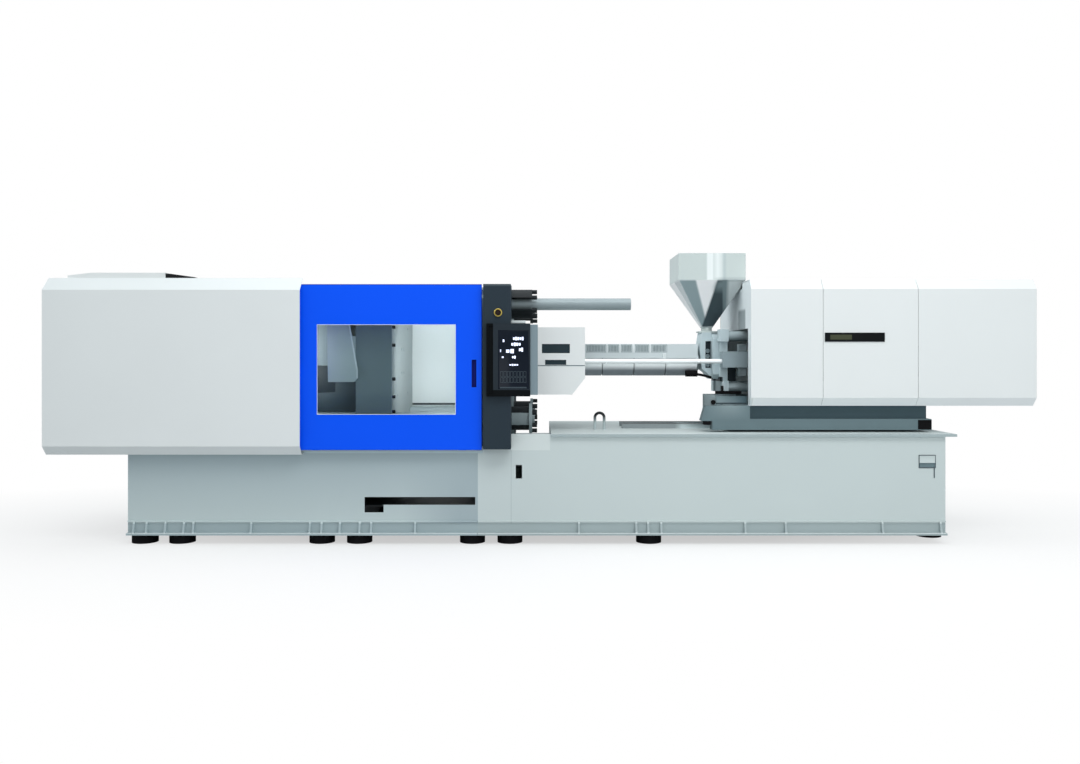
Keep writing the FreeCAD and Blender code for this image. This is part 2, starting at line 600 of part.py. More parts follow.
def window_hole(name, side, parts):
    """The stiffening rim and hand cup go into parts; the holes to cut come back."""
    front = S.gate_front
    behind = front - S.gate_depth - 2
    skin = front - S.gate_sheet / 2
    rim, seat, cup = S.window_rim, S.pane_lap, S.grip_wall
    parts.append(block(name + "_rim", (S.window_left - rim, S.window_right + rim),
                       across(side, behind + 4, skin), (S.window_low - rim, S.window_high + rim)))
    parts.append(block(name + "_cup", (S.grip_left - cup, S.grip_right + cup),
                       across(side, front - S.grip_depth - cup, skin),
                       (S.grip_low - cup, S.grip_high + cup)))
    return [block(name + "_opening", (S.window_left, S.window_right),
                  across(side, behind, front + 1), (S.window_low, S.window_high)),
            block(name + "_seat", (S.window_left - seat, S.window_right + seat),
                  across(side, behind, front - S.pane_seat), (S.window_low - seat, S.window_high + seat)),
            block(name + "_grip", (S.grip_left, S.grip_right),
                  across(side, front - S.grip_depth, front + 1), (S.grip_low, S.grip_high))]


def bow_handle(name, side):
    """A bar on two stands, pulled by hand."""
    stand = across(side, S.gate_front - 2, S.rear_grip_out - 2)
    x = (S.grip_left, S.grip_right)
    return [block(name + "_bow_low", x, stand, (S.grip_low, S.grip_low + S.bow_stand)),
            block(name + "_bow_high", x, stand, (S.grip_high - S.bow_stand, S.grip_high)),
            block(name + "_bow", x, across(side, S.rear_grip_out - S.bow_thick, S.rear_grip_out),
                  (S.grip_low, S.grip_high))]


gate_rail_top = S.gate_low - 5
top_rail_out = S.gate_front - S.gate_depth - 14
top_rail_low = S.gate_high - 76


def gates():
    node(gate_frame("front_gate", -1), "front_gate")
    node(gate_frame("rear_gate", 1), "rear_gate")
    front = S.gate_front - S.pane_seat
    lap = S.pane_lap - 1
    pane = block("front_pane", (S.window_left - lap, S.window_right + lap),
                 across(-1, front - S.pane_thick, front - S.runner_gap),
                 (S.window_low - lap, S.window_high + lap))
    return node(pane, "front_gate_window")


def gate_rails():
    """Two lower rails on the base's sides and two upper rails behind the gates' top edges."""
    rails = []
    half = S.base_half_width
    high = top_rail_low + S.top_rail_high
    for word, side in SIDES:
        low = block(f"lower_rail_{word}", (S.rail_left, S.rail_right), across(side, half, S.gate_front - 8),
                    (gate_rail_top - S.low_rail_thick, gate_rail_top))
        web = block(f"lower_rail_web_{word}", (S.clamp_base_left, S.rail_right),
                    across(side, half, half + S.rail_web),
                    (S.cover_low + S.cover_sheet + S.runner_gap, gate_rail_top - S.low_rail_thick / 2))
        rails.append(fuse(f"lower_rail_{word}_weld", low, web))
        top = block(f"upper_rail_{word}", (S.rail_left, S.column_left - S.runner_gap),
                    across(side, top_rail_out - S.top_rail_thick, top_rail_out), (top_rail_low, high))
        posts = [block(f"upper_rail_post_{word}_{end}", (x, x + S.rail_post),
                       across(side, top_rail_out - S.rail_post_in, top_rail_out - S.top_rail_thick + 1),
                       (S.clamp_bed, high))
                 for end, x in (("left", S.clamp_base_left + S.rail_post_from_left),
                                ("right", S.cover_right - S.rail_post_from_right))]
        rails.append(fuse(f"upper_rail_{word}_weld", top, *posts))
    return node(group("gate_rail_set", *rails), "gate_rails")


def column_covers():
    """Folded dark covers over the fixed platen's two side faces, with the stop button's collar."""
    sheet = S.column_sheet
    front, back = S.column_front, S.platen_half + 0.3
    covers = []
    for word, side in SIDES:
        outer = [(S.column_left, side * back), (S.column_left, side * front),
                 (S.column_right, side * front), (S.column_right, side * back)]
        inner = [(S.column_right - sheet, side * back), (S.column_right - sheet, side * (front - sheet)),
                 (S.column_left + sheet, side * (front - sheet)), (S.column_left + sheet, side * back)]
        sheet_body = outline(f"column_cover_{word}", "XY", outer + inner, (S.column_low, S.column_high))
        caps = []
        for end, z in (("low", S.column_low), ("high", S.column_high - sheet)):
            span = (back, front - 1) if side > 0 else (1 - front, -back)
            caps.append(block(f"column_cap_{word}_{end}", (S.column_left + 1, S.column_right - 1), span,
                              (z, z + sheet)))
        if side < 0:
            hole = rod("stop_hole", S.stop_head - 6 + 0.2, S.stop_x, (-front - 1, 5 + sheet - front),
                       S.stop_z)
            covers.append(cut("column_cover_front_cut", fuse("column_weld_front", sheet_body, *caps), hole))
            collar = rod("stop_collar", S.stop_ring, S.stop_x, (-front - 9, -front), S.stop_z)
            bore = rod("stop_collar_bore", S.stop_head + 3, S.stop_x, (-front - 10, 1 - front), S.stop_z)
            covers.append(cut("stop_ring", collar, bore))
        else:
            covers.append(fuse("column_weld_rear", sheet_body, *caps))
    return node(group("columns", *covers), "column_covers")


def control_panel():
    back = S.column_front + 0.3
    front = S.panel_front
    shell = block("panel_shell", (S.panel_left, S.panel_right), (-front, -back),
                  (S.panel_low, S.panel_high))
    window = block("panel_window", (S.screen_left, S.screen_right), (-front - 1, S.screen_recess - front),
                   (S.screen_low, S.screen_high))
    trough = block("panel_trough", (S.panel_left + 14, S.panel_left + 50), (-front - 1, 12 - front),
                   (S.panel_low + 14, S.panel_high - 14))
    side_case = block("panel_side_case", (S.column_right + 0.3, S.panel_case_right),
                      (-S.panel_case_front, -S.panel_case_back), (S.panel_case_low, S.panel_case_high))
    node(cut("panel_cut", fuse("panel_weld", shell, side_case), window, trough), "control_panel_housing")
    screen = block("panel_screen", (S.screen_left + 0.3, S.screen_right - 0.3),
                   (1 - front, S.screen_recess - front), (S.screen_low + 0.3, S.screen_high - 0.3))
    node(screen, "control_panel_screen")


def stop_button():
    """The mushroom push button on the front column."""
    front = S.column_front
    head = rod("stop_mushroom", S.stop_head, S.stop_x, (-front - 24, -front - 10), S.stop_z)
    stem = rod("stop_stem", S.stop_head - 6, S.stop_x, (-front - 11, 30 - front), S.stop_z)
    node(fuse("stop_head_weld", head, stem), "stop_button")


def platen_outline(name, left, right, holes):
    half, corner = S.platen_half, S.platen_corner
    z = S.axis_height
    points = [(corner - half, z - half), (half - corner, z - half), (half, z - half + corner),
              (half, z + half - corner), (half - corner, z + half), (corner - half, z + half),
              (-half, z + half - corner), (-half, z - half + corner)]
    return outline(name, "YZ", points, (left, right), holes)


def bar_holes():
    return [(y, z, bar_bore) for _, y, z in corners(S.bar_pitch, S.bar_pitch)]


def mould_holes(name, face, deep):
    """Blind holes for mould clamps in the face of a platen."""
    span = (face - deep, face + 1) if deep.value > 0 else (face - 1, face - deep)
    return [rod(f"{name}_{word}", S.mould_hole, span, y, z)
            for word, y, z in corners(S.mould_pitch_y / 2, S.mould_pitch_z / 2)]


def fixed_platen():
    z = S.axis_height
    plate = platen_outline("fixed_plate", S.fixed_left, S.fixed_right, bar_holes())
    feet = []
    for word, side in SIDES:
        feet.append(block(f"fixed_foot_{word}", (S.base_joint + S.foot_from_joint, S.fixed_right),
                          across(side, S.clamp_rail_inner, S.platen_half - S.shoe_lap),
                          (S.clamp_bed - 1, S.axis_height - S.bar_pitch - bar_bore - S.foot_lap)))
    seat = rod("fixed_locating_seat", S.sprue_bore, (S.fixed_left - 1, S.fixed_left + S.sprue_seat_deep),
               0, z)
    mouth = cone("fixed_mouth", (S.sprue_bore - 22, S.nozzle_mouth), (S.fixed_left, S.fixed_right + 1), 0, z)
    holes = mould_holes("fixed_mould_hole", S.fixed_left, -S.mould_hole_deep)
    pockets = [block(f"fixed_pocket_{word}", (S.fixed_right - S.pocket_deep, S.fixed_right + 1),
                     across(side, S.pocket_y - S.pocket_half_y, S.pocket_y + S.pocket_half_y),
                     both_about(z, S.pocket_half_z))
               for word, side in SIDES]
    return node(cut("fixed_platen_cut", fuse("fixed_platen_cast", plate, *feet), seat, mouth, *holes,
                    *pockets), "fixed_platen")


def both_about(middle, reach):
    return (size(middle) - reach, size(middle) + reach)


def lug(name, at_x, root_x, y_span, z):
    """A clevis lug with a round eye, from the platen's face to the pin."""
    eye = rod(name + "_eye", S.eye_radius, at_x, y_span, z)
    left, right = (at_x, root_x) if root_x.value > at_x.value else (root_x, at_x)
    web = block(name + "_web", (left, right), y_span, both_about(z, S.eye_radius))
    return [eye, web]


def lugs(name, at_x, root_x, spans):
    """Lugs on both sides of the middle, above and below the machine's axis."""
    pieces = []
    for level_word, level in (("upper", 1), ("lower", -1)):
        z = S.axis_height + S.pin_height * level
        for number, (near, far) in enumerate(spans):
            for word, side in SIDES:
                pieces += lug(f"{name}_{level_word}_{word}_{number}", at_x, root_x,
                              across(side, near, far), z)
    return pieces


def pin_bores(name, at_x, reach):
    return [rod(f"{name}_bore_{word}", S.pin_radius + S.pin_gap, at_x, both(reach),
                S.axis_height + S.pin_height * level) for word, level in (("upper", 1), ("lower", -1))]


def shoes(name, left, right):
    pieces = []
    for word, side in SIDES:
        pieces.append(block(f"{name}_shoe_{word}", (left, right),
                            across(side, S.clamp_rail_inner - S.shoe_lap,
                                   S.clamp_rail_outer + S.shoe_lap),
                            (clamp_rail_top + S.runner_gap, platen_low + S.shoe_step)))
    return pieces


def moving_platen():
    z = S.axis_height
    plate = platen_outline("moving_plate_body", moving_plate_left, S.moving_face, bar_holes())
    # the cast back narrows towards the toggle
    root, shoulder, high = S.back_root_half, S.back_shoulder_half, S.back_half_high
    shoulder_x = moving_plate_left - S.back_shoulder
    back = outline("moving_back_casting", "XZ",
                   [(moving_plate_left + 1, z + root), (shoulder_x, z + shoulder),
                    (moving_left, z + high), (moving_left, z - high), (shoulder_x, z - shoulder),
                    (moving_plate_left + 1, z - root)], both(S.back_half_wide))
    cavity = block("moving_cavity", (moving_left - 1, S.cavity_right), both(S.cavity_half_y),
                   both_about(z, S.cavity_half_z))
    core_span = (moving_left + S.core_wall, moving_plate_left - S.core_root)
    cores = [block(f"moving_core_{word}", core_span, both(S.back_half_wide + 1), span)
             for word, span in (("upper", (z + S.core_low, z + S.core_high)),
                                ("lower", (z - S.core_high, z - S.core_low)))]
    parts = lugs("moving_lug", platen_pin_x, moving_left + 1,
                 ((S.platen_lug_in, S.tail_arm_out), (S.platen_arm_out + 2, S.platen_lug_out)))
    cast = fuse("moving_platen_cast", plate, back, *parts,
                *shoes("moving", S.moving_face - S.moving_plate - S.shoe_reach, S.moving_face))
    rods = [rod(f"ejector_hole_{word}", S.ejector_rod + S.runner_gap,
                (S.cavity_right - 1, S.moving_face + 1), y, height)
            for word, y, height in corners(S.ejector_pitch_y / 2, S.ejector_pitch_z / 2)]
    return node(cut("moving_platen_cut", cast, cavity, *cores,
                    *pin_bores("moving", platen_pin_x, S.platen_lug_out + 2),
                    *mould_holes("moving_mould_hole", S.moving_face, S.mould_hole_deep), *rods),
                "moving_platen")


def tail_platen():
    z = S.axis_height
    plate = platen_outline("tail_plate_body", tail_left, tail_right, bar_holes())
    parts = lugs("tail_lug", tail_pin_x, tail_right - 1,
                 ((S.lug_in_low, S.lug_in_high), (S.tail_arm_out + 2, S.lug_out_high)))
    bore = rod("tail_screw_bore", S.screw_radius + 10, (tail_left - 1, tail_right + 1), 0, z)
    core_span = (tail_left + S.tail_core_wall, tail_right - S.tail_core_wall)
    cores = [block(f"tail_core_{word}", core_span, both(S.platen_half + 1), span)
             for word, span in (("upper", (z + S.tail_core_low, z + S.tail_core_high)),
                                ("lower", (z - S.tail_core_high, z - S.tail_core_low)))]
    cast = fuse("tail_platen_cast", plate, *parts, *shoes("tail", tail_left, tail_right))
    return node(cut("tail_platen_cut", cast, bore, *cores,
                    *pin_bores("tail", tail_pin_x, S.lug_out_high + 2)), "tail_platen")


def pins(name, label, at_x, reach):
    made = [rod(f"{name}_{word}", S.pin_radius, at_x, both(reach), S.axis_height + S.pin_height * level)
            for word, level in (("upper", 1), ("lower", -1))]
    return node(group(name, *made), label)


def tie_bars():
    bars = [rod(f"tie_bar_{word}", S.bar_radius,
                (S.bar_left, S.bar_tail if word == "front_upper" else S.bar_end), y, z)
            for word, y, z in corners(S.bar_pitch, S.bar_pitch)]
    return node(group("tie_bar_set", *bars), "tie_bars")


def platen_tie_nuts():
    """Nuts with bolted flanges behind the fixed platen. The long bar has a horseshoe nut."""
    nuts = []
    face = S.fixed_right
    for word, y, z in corners(S.bar_pitch, S.bar_pitch):
        flange_right = S.nut_right + S.flange_thick
        bolts = []
        for number in range(6):
            angle = Size(30 + 60 * number, f"{30 + 60 * number}")
            bolts.append(rod(f"nut_bolt_{word}_{number}", S.bolt_radius,
                             (flange_right - 1, flange_right + S.bolt_head),
                             y + S.bolt_circle * cosine(angle), z + S.bolt_circle * sine(angle)))
        if word == "front_upper":
            ring = rod("horseshoe_ring", S.horseshoe_radius, (face, flange_right), y, z)
            gap = block("horseshoe_gap", (face - 1, flange_right + 1), (y - S.horseshoe_radius - 1, y),
                        both_about(z, bar_bore))
            inner = rod("horseshoe_bore", bar_bore, (face - 1, flange_right + 1), y, z)
            keep = [bolts[0], bolts[1], bolts[4], bolts[5], bolts[2], bolts[3]]
            nuts.append(cut("horseshoe_nut", fuse("horseshoe_weld", ring, *keep), gap, inner))
            continue
        body = rod(f"nut_body_{word}", S.nut_radius, (face, S.nut_right + 1), y, z)
        flange = rod(f"nut_flange_{word}", S.flange_radius, (S.nut_right, flange_right), y, z)
        bore = rod(f"nut_bore_{word}", bar_bore, (face - 1, flange_right + 1), y, z)
        nuts.append(cut(f"nut_{word}", fuse(f"nut_weld_{word}", body, flange, *bolts), bore))
    return node(group("tie_nuts", *nuts), "platen_tie_nuts")


def die_height_nuts():
    """Flanged nuts that turn on the tie bars behind the tail platen."""
    right = tail_left - S.bar_gap
    for word, y, z in corners(S.bar_pitch, S.bar_pitch):
        body = rod(f"turn_nut_body_{word}", S.turn_nut_radius,
                   (right - S.turn_nut_thick * S.nut_body_share, right), y, z)
        neck = rod(f"turn_nut_neck_{word}", S.turn_nut_radius - S.nut_neck_step,
                   (right - S.turn_nut_thick, right - 1), y, z)
        bore = rod(f"turn_nut_bore_{word}", bar_bore, (right - S.turn_nut_thick - 1, right + 1), y, z)
        node(cut(f"turn_nut_{word}", fuse(f"turn_nut_weld_{word}", body, neck), bore),
             f"die_height_nut_{word}")


def die_height_drive():
    """Closed chain case between the four nuts, with its motor."""
    z = S.axis_height
    left, right = tail_left - S.case_thick, tail_left - S.bar_gap
    half = S.platen_half - S.case_in
    inner = S.case_inner
    points = [(-half, z - half), (half, z - half), (half, z + half), (-half, z + half)]
    holes = [(y, height, S.turn_nut_radius + 1) for _, y, height in corners(S.bar_pitch, S.bar_pitch)]
    case = outline("chain_case", "YZ", points, (left, right), holes)
    hole = block("chain_case_hole", (left - 1, right + 1), both(inner), both_about(z, inner))
    motor = rod("chain_motor", S.drive_motor_radius, (left - S.drive_motor_length, left + 1), 0,
                z + inner + S.drive_motor_up)
    return node(fuse("chain_drive", cut("chain_case_cut", case, hole), motor), "die_height_drive")


def clamp_servo_motor():
    z = S.axis_height
    left, right = tail_left - S.motor_length, tail_left - S.bar_gap
    body = rod("clamp_motor_body", S.motor_radius, (left, right), 0, z)
    starts = [left + S.motor_ring_from + S.motor_ring_pitch * number for number in range(MOTOR_RINGS)]
    ribs = [rod(f"clamp_motor_ring_{number}", S.motor_radius + S.motor_ring,
                (start, start + S.motor_ring_wide), 0, z) for number, start in enumerate(starts)]
    box = block("clamp_motor_box", (left + S.motor_box_left, left + S.motor_box_right),
                both(S.motor_box_half),
                (z + S.motor_radius - S.motor_box_sink, z + S.motor_radius + S.motor_box_high))
    bore = rod("clamp_motor_bore", S.rotor_radius + S.pin_gap, (left - 1, right + 1), 0, z)
    return node(cut("clamp_motor_cut", fuse("clamp_motor_weld", body, *ribs, box), bore),
                "clamp_servo_motor")


def clamp_screw_nut():
    z = S.axis_height
    right = tail_left - S.side_gap
    left = right - S.rotor_length
    body = rod("screw_nut_body", S.rotor_radius, (left, right), 0, z)
    cap = rod("screw_nut_cap", S.rotor_radius - S.nut_cap_step, (left - S.nut_cap_length, left + 1), 0, z)
    bore = rod("screw_nut_bore", S.screw_radius + S.pin_gap, (left - S.nut_cap_length - 1, right + 1), 0, z)
    return node(cut("screw_nut_cut", fuse("screw_nut_weld", body, cap), bore), "clamp_screw_nut")


def crosshead():
    z = S.axis_height
    span = (crosshead_x - S.crosshead_half, crosshead_x + S.crosshead_half)
    hub = rod("crosshead_hub", S.hub_radius, span, 0, z)
    parts = [hub]
    for word, side in SIDES:
        width = across(side, S.cheek_in, S.cheek_out)
        parts.append(block(f"crosshead_cheek_{word}", span, width, both_about(z, S.pin_height)))
        for level_word, level in (("upper", 1), ("lower", -1)):
            parts.append(rod(f"crosshead_end_{word}_{level_word}", S.crosshead_half, crosshead_x, width,
                             z + S.pin_height * level))
    shafts = [rod(f"crosshead_shaft_{word}", S.small_pin_radius, crosshead_x, both(S.cheek_out),
                  z + S.pin_height * level) for word, level in (("upper", 1), ("lower", -1))]
    bore = rod("crosshead_bore", S.screw_radius + S.pin_gap, (span[0] - 1, span[1] - 20), 0, z)
    node(cut("crosshead_cut", fuse("crosshead_cast", *parts, *shafts), bore), "crosshead")
    screw = rod("ball_screw", S.screw_radius, (span[1] - 20.3 - S.screw_length, span[1] - 20.3), 0, z)
    node(screw, "clamp_ball_screw")


def arm(name, length, y_span, half, end_radius):
    """One waisted arm along +X between two eyes, the first one at the origin."""
    eyes = [rod(f"{name}_eye_{number}", radius, x, y_span, 0)
            for number, (x, radius) in enumerate(((size(0), end_radius[0]), (length, end_radius[1])))]
    shank = outline(name + "_shank", "XZ",
                    [(0, -end_radius[0] * 0.86), (length * 0.34, -half), (length * 0.66, -half),
                     (length, -end_radius[1] * 0.86), (length, end_radius[1] * 0.86),
                     (length * 0.66, half), (length * 0.34, half), (0, end_radius[0] * 0.86)], y_span)
    return eyes + [shank]


def turned(made, x, z, angle, level):
    """Put a link made along +X at its pin, turned up or down by the fold angle."""
    made.Placement = FreeCAD.Placement(FreeCAD.Vector(0, 0, 0),
                                       FreeCAD.Rotation(FreeCAD.Vector(0, -level, 0), angle.value))
    bind(made, "Placement.Rotation.Angle", angle)
    place(made, x, 0, z)
    return made


def link(name, length, spans, web_at, small_hole=None):
    parts = []
    radii = (S.eye_radius, S.eye_radius)
    for number, (near, far) in enumerate(spans):
        for word, side in SIDES:
            parts += arm(f"{name}_{word}_{number}", length, across(side, near, far), S.arm_half, radii)
    reach = spans[0][0] + 1
    parts.append(block(name + "_web", both_about(web_at, S.web_half), both(reach), both(S.web_half)))
    far = spans[-1][1] + 1
    tools = [rod(f"{name}_bore_{number}", S.pin_radius + S.pin_gap, x, both(far), 0)
             for number, x in enumerate((size(0), length))]
    if small_hole:
        tools.append(rod(name + "_small_bore", S.small_pin_radius + S.pin_gap, small_hole, both(far), 0))
    return cut(name + "_cut", fuse(name + "_cast", *parts), *tools)


def toggle_links():
    for word, level in (("upper", 1), ("lower", -1)):
        z = S.axis_height + S.pin_height * level
        rise = S.link_length * sine(S.fold_angle) * level
        run = S.link_length * cosine(S.fold_angle)
        tail = link(f"{word}_tail", S.link_length, ((S.tail_arm_in, S.tail_arm_out),), S.tail_web_at,
                    S.drive_length)
        node(turned(tail, tail_pin_x, z, S.fold_angle, level), f"{word}_tail_link")
        front = link(f"{word}_platen", S.link_length, ((S.platen_arm_in, S.platen_arm_out),),
                     S.link_length / 2)
        node(turned(front, tail_pin_x + run, z + rise, S.fold_angle, -level), f"{word}_platen_link")
        drive_x = tail_pin_x + S.drive_length * cosine(S.fold_angle)
        drive_z = z + S.drive_length * sine(S.fold_angle) * level
        width = both(S.cheek_in - S.side_gap)
        small = arm(f"{word}_drive", S.drive_length, width, S.small_eye_radius - 10,
                    (S.small_eye_radius, S.small_eye_radius))
        bores = [rod(f"{word}_drive_bore_{number}", S.small_pin_radius + S.pin_gap, x,
                     both(S.cheek_in + 1), 0)
                 for number, x in enumerate((size(0), S.drive_length))]
        drive = cut(f"{word}_drive_cut", fuse(f"{word}_drive_cast", *small), *bores)
        node(turned(drive, drive_x, drive_z, S.fold_angle, -level), f"{word}_crosshead_link")
        # the knee pins are stubs, so that the crosshead and its link can pass between them
        stubs = [rod(f"{word}_knee_pin_{side_word}", S.pin_radius, tail_pin_x + run, span, z + rise)
                 for side_word, span in (("front", (-S.platen_arm_out, -S.knee_pin_in)),
                                         ("rear", (S.knee_pin_in, S.platen_arm_out)))]
        small_pin = rod(f"{word}_drive_pin", S.small_pin_radius, drive_x, both(S.tail_arm_out), drive_z)
        collars = [rod(f"{word}_drive_collar_{side_word}", S.small_pin_radius + 12, drive_x,
                       across(side, S.cheek_in, S.tail_arm_in - S.side_gap), drive_z)
                   for side_word, side in SIDES]
        node(group(f"{word}_pins", *stubs, fuse(f"{word}_drive_shaft", small_pin, *collars)),
             f"{word}_link_pins")


def ejector():
    z = S.axis_height
    left = S.ejector_left
    plate = block("ejector_body", (left, left + S.ejector_plate), both(S.ejector_half_y),
                  both_about(z, S.ejector_half_z))
    rod_span = (left + S.ejector_plate - 1, S.moving_face - 20)
    rods = [rod(f"ejector_rod_{word}", S.ejector_rod, rod_span, y, height)
            for word, y, height in corners(S.ejector_pitch_y / 2, S.ejector_pitch_z / 2)]
    return node(fuse("ejector_weld", plate, *rods), "ejector_plate")


def purge_guard():
    """A folded hood over the nozzle that slides along the two touch rods."""
    sheet, half = S.guard_hood_sheet, S.guard_hood_half
    left, right, low, high = S.guard_hood_left, S.guard_hood_right, S.guard_hood_low, S.guard_hood_high
    hood = outline("hood_sheet", "YZ",
                   [(-half, low), (-half, high), (half, high), (half, low), (half - sheet, low),
                    (half - sheet, high - sheet), (sheet - half, high - sheet), (sheet - half, low)],
                   (left, right))
    z = S.axis_height
    ears = []
    ear_high = both_about(z, S.ear_half_height)
    for word, side in SIDES:
        span = across(side, S.touch_rod_y - S.ear_in, half - sheet / 2)
        for end, x in (("right", right - S.ear_from_right), ("left", left + S.ear_from_left)):
            ears.append(block(f"hood_ear_{end}_{word}", (x, x + S.lug_plate), span, ear_high))
    holes = [rod(f"hood_hole_{word}", S.touch_rod_radius + S.bar_gap, (left - 1, right + 1),
                 S.touch_rod_y * side, z) for word, side in SIDES]
    corner = outline("hood_corner", "XZ",
                     [(right + 1, low - 1), (right + 1, low + S.guard_cut_z),
                      (right - S.guard_cut_x, low - 1)], both(half + 1))
    slits = []
    for word, left_x, right_x, low_z, high_z in (
            ("one", S.slit_left, S.slit_right, S.slit_low, S.slit_high),
            ("two", S.slit_two_left, S.slit_two_right, S.slit_two_low, S.slit_two_high)):
        slits.append(block(f"hood_slit_{word}", (left_x, right_x), (-half - 1, sheet - half + 1),
                           (low_z, high_z)))
    return node(cut("purge_guard_cut", fuse("purge_guard_weld", hood, *ears), corner, *slits, *holes),
                "purge_guard")


def touch_rods():
    span = (S.fixed_right - S.pocket_deep, S.touch_rod_right)
    rods = [rod(f"touch_rod_{word}", S.touch_rod_radius, span, S.touch_rod_y * side, S.axis_height)
            for word, side in SIDES]
    return node(group("touch_rod_set", *rods), "nozzle_touch_rods")


def screw_barrel():
    z = S.axis_height
    left = S.barrel_left
    tube = rod("barrel_tube", S.barrel_radius, (left, S.housing_left), 0, z)
    cap_left, taper_left = left - S.barrel_cap_long, left - S.taper_end
    point = S.nozzle_tip + S.nozzle_point_long
    cap = rod("barrel_cap", S.barrel_radius - S.barrel_cap_step, (cap_left, left + 1), 0, z)
    taper = cone("nozzle_taper", (S.nozzle_radius, S.barrel_radius - S.taper_step),
                 (taper_left, cap_left + 1), 0, z)
    nozzle = rod("nozzle_body", S.nozzle_radius, (point, taper_left + 1), 0, z)
    tip = cone("nozzle_tip_cone", (S.nozzle_point, S.nozzle_radius), (S.nozzle_tip, point + 1), 0, z)
    bore = rod("barrel_bore", S.barrel_bore, (left - 20, S.housing_left + 1), 0, z)
    channel = rod("nozzle_bore", S.nozzle_channel, (S.nozzle_tip - 1, left), 0, z)
    return node(cut("barrel_cut", fuse("barrel_weld", tube, cap, taper, nozzle, tip), bore, channel),
                "screw_barrel")


def heater_jackets():
    z = S.axis_height
    count = 5
    pitch = (S.jacket_right - S.jacket_left + S.jacket_gap) / count
    jackets = []
    for number in range(count):
        left = S.jacket_left + pitch * number
        outer = rod(f"jacket_{number}", S.jacket_radius, (left, left + pitch - S.jacket_gap), 0, z)
        inner = rod(f"jacket_bore_{number}", S.barrel_radius + 0.3, (left - 1, left + pitch), 0, z)
        jackets.append(cut(f"jacket_cut_{number}", outer, inner))
    return node(group("jacket_set", *jackets), "heater_jackets")


def barrel_cover():
    """Folded shield over the upper half of the barrel, on three standoffs."""
    sheet, half = S.barrel_cover_sheet, S.barrel_cover_half
    low, high = S.barrel_cover_low, S.barrel_cover_high
    hood = outline("barrel_hood", "YZ",
                   [(-half, low), (-half, high), (half, high), (half, low), (half - sheet, low),
                    (half - sheet, high - sheet), (sheet - half, high - sheet), (sheet - half, low)],
                   (S.barrel_cover_left, S.barrel_cover_right))
    stands = [block(f"barrel_stand_{number}", (x, x + 24), both(30),
                    (S.axis_height + S.jacket_radius + 0.3, high - sheet / 2))
              for number, x in enumerate((S.barrel_cover_left + 90, S.barrel_cover_left + 400,
                                          S.barrel_cover_right - 120))]
    return node(fuse("barrel_cover_weld", hood, *stands), "barrel_cover")


def feed_housing():
    """Cast housing that holds the barrel, carries the hopper and takes the four tie rods."""
    z = S.axis_height
    half, plate_half = S.housing_half_width, S.housing_plate_half
    left, middle, flange, right = S.housing_left, S.housing_mid, S.housing_flange, S.housing_right
    nose = outline("housing_nose", "XZ",
                   [(left + 22, S.housing_high), (middle + 1, S.housing_high), (middle + 1, z - 150),
                    (left + 60, z - 95), (left + 20, z - 66), (left, z + 101), (left + 12, z + 176)],
                   both(half))
    plate = outline("housing_plate", "YZ",
                    [(-plate_half, z - 110), (-half, z - 150), (half, z - 150),
                     (plate_half, z - 110), (plate_half, z + 185), (half, z + 225),
                     (-half, z + 225), (-plate_half, z + 185)], (middle, flange))
    web = block("housing_web", (flange - 1, right), both(S.feed_rod_y), both_about(z, 130))
    leg = block("housing_leg", (S.leg_left, S.leg_right), both(S.leg_half_width), (S.plinth_high, z))
    boss = S.boss_radius
    arms = []
    for word, y, height in corners(S.feed_rod_y, S.feed_rod_z):
        start = S.low_arm_left if "lower" in word else flange - 18
        arms.append(block(f"housing_arm_{word}", (start, right), both_about(y, boss),
                          both_about(height, boss)))
    ribs = [block(f"housing_rib_{word}_{level_word}", (start, right),
                  across(side, S.feed_rod_y - boss, S.feed_rod_y), span)
            for word, side in SIDES
            for level_word, start, span in (("upper", flange - 1, (z + 120, z + S.feed_rod_z)),
                                            ("lower", S.low_arm_left, (z - S.feed_rod_z, z - 120)))]
    hub = rod("housing_hub", S.hub_out, (right - 1, right + S.hub_long), 0, z)
    throat = rod("housing_throat", S.throat_bore, (S.hopper_left + S.hopper_right) / 2, 0,
                 (z, S.housing_high + 1))
    bore = rod("housing_bore", S.barrel_bore, (left - 1, right + S.hub_long + 1), 0, z)
    recesses = [block(f"housing_recess_{word}", (S.recess_left, middle),
                      across(side, half - S.recess_deep, half + 1), (S.recess_low, S.recess_high))
                for word, side in SIDES]
    rods = [rod(f"housing_rod_{word}", S.feed_rod_radius + S.bar_gap,
                (S.low_arm_left + 7, right + 1), y, height)
            for word, y, height in corners(S.feed_rod_y, S.feed_rod_z)]
    cast = fuse("housing_cast", nose, plate, web, leg, hub, *arms, *ribs)
    return node(cut("housing_cut", cast, throat, bore, *recesses, *rods), "feed_housing")


def touch_drives():
    """Drives that pull the carriage along the two fixed touch rods, one on each side."""
    drives = []
    z = S.axis_height
    for word, side in SIDES:
        case = block(f"touch_drive_{word}", (S.touch_drive_left, S.touch_drive_right),
                     across(side, S.touch_drive_inner, S.touch_drive_outer),
                     (S.touch_drive_low, S.touch_drive_high))
        bore = rod(f"touch_drive_bore_{word}", S.touch_rod_radius + S.bar_gap,
                   (S.touch_drive_left - 1, S.touch_drive_right + 1), S.touch_rod_y * side, z)
        drives.append(cut(f"touch_drive_cut_{word}", case, bore))
    return node(group("touch_drive_set", *drives), "nozzle_touch_drives")


def injection_tie_rods():
    rods = [rod(f"feed_rod_{word}", S.feed_rod_radius, (S.low_arm_left + 8, S.feed_rod_end), y, height)
            for word, y, height in corners(S.feed_rod_y, S.feed_rod_z)]
    return node(group("feed_rod_set", *rods), "injection_tie_rods")


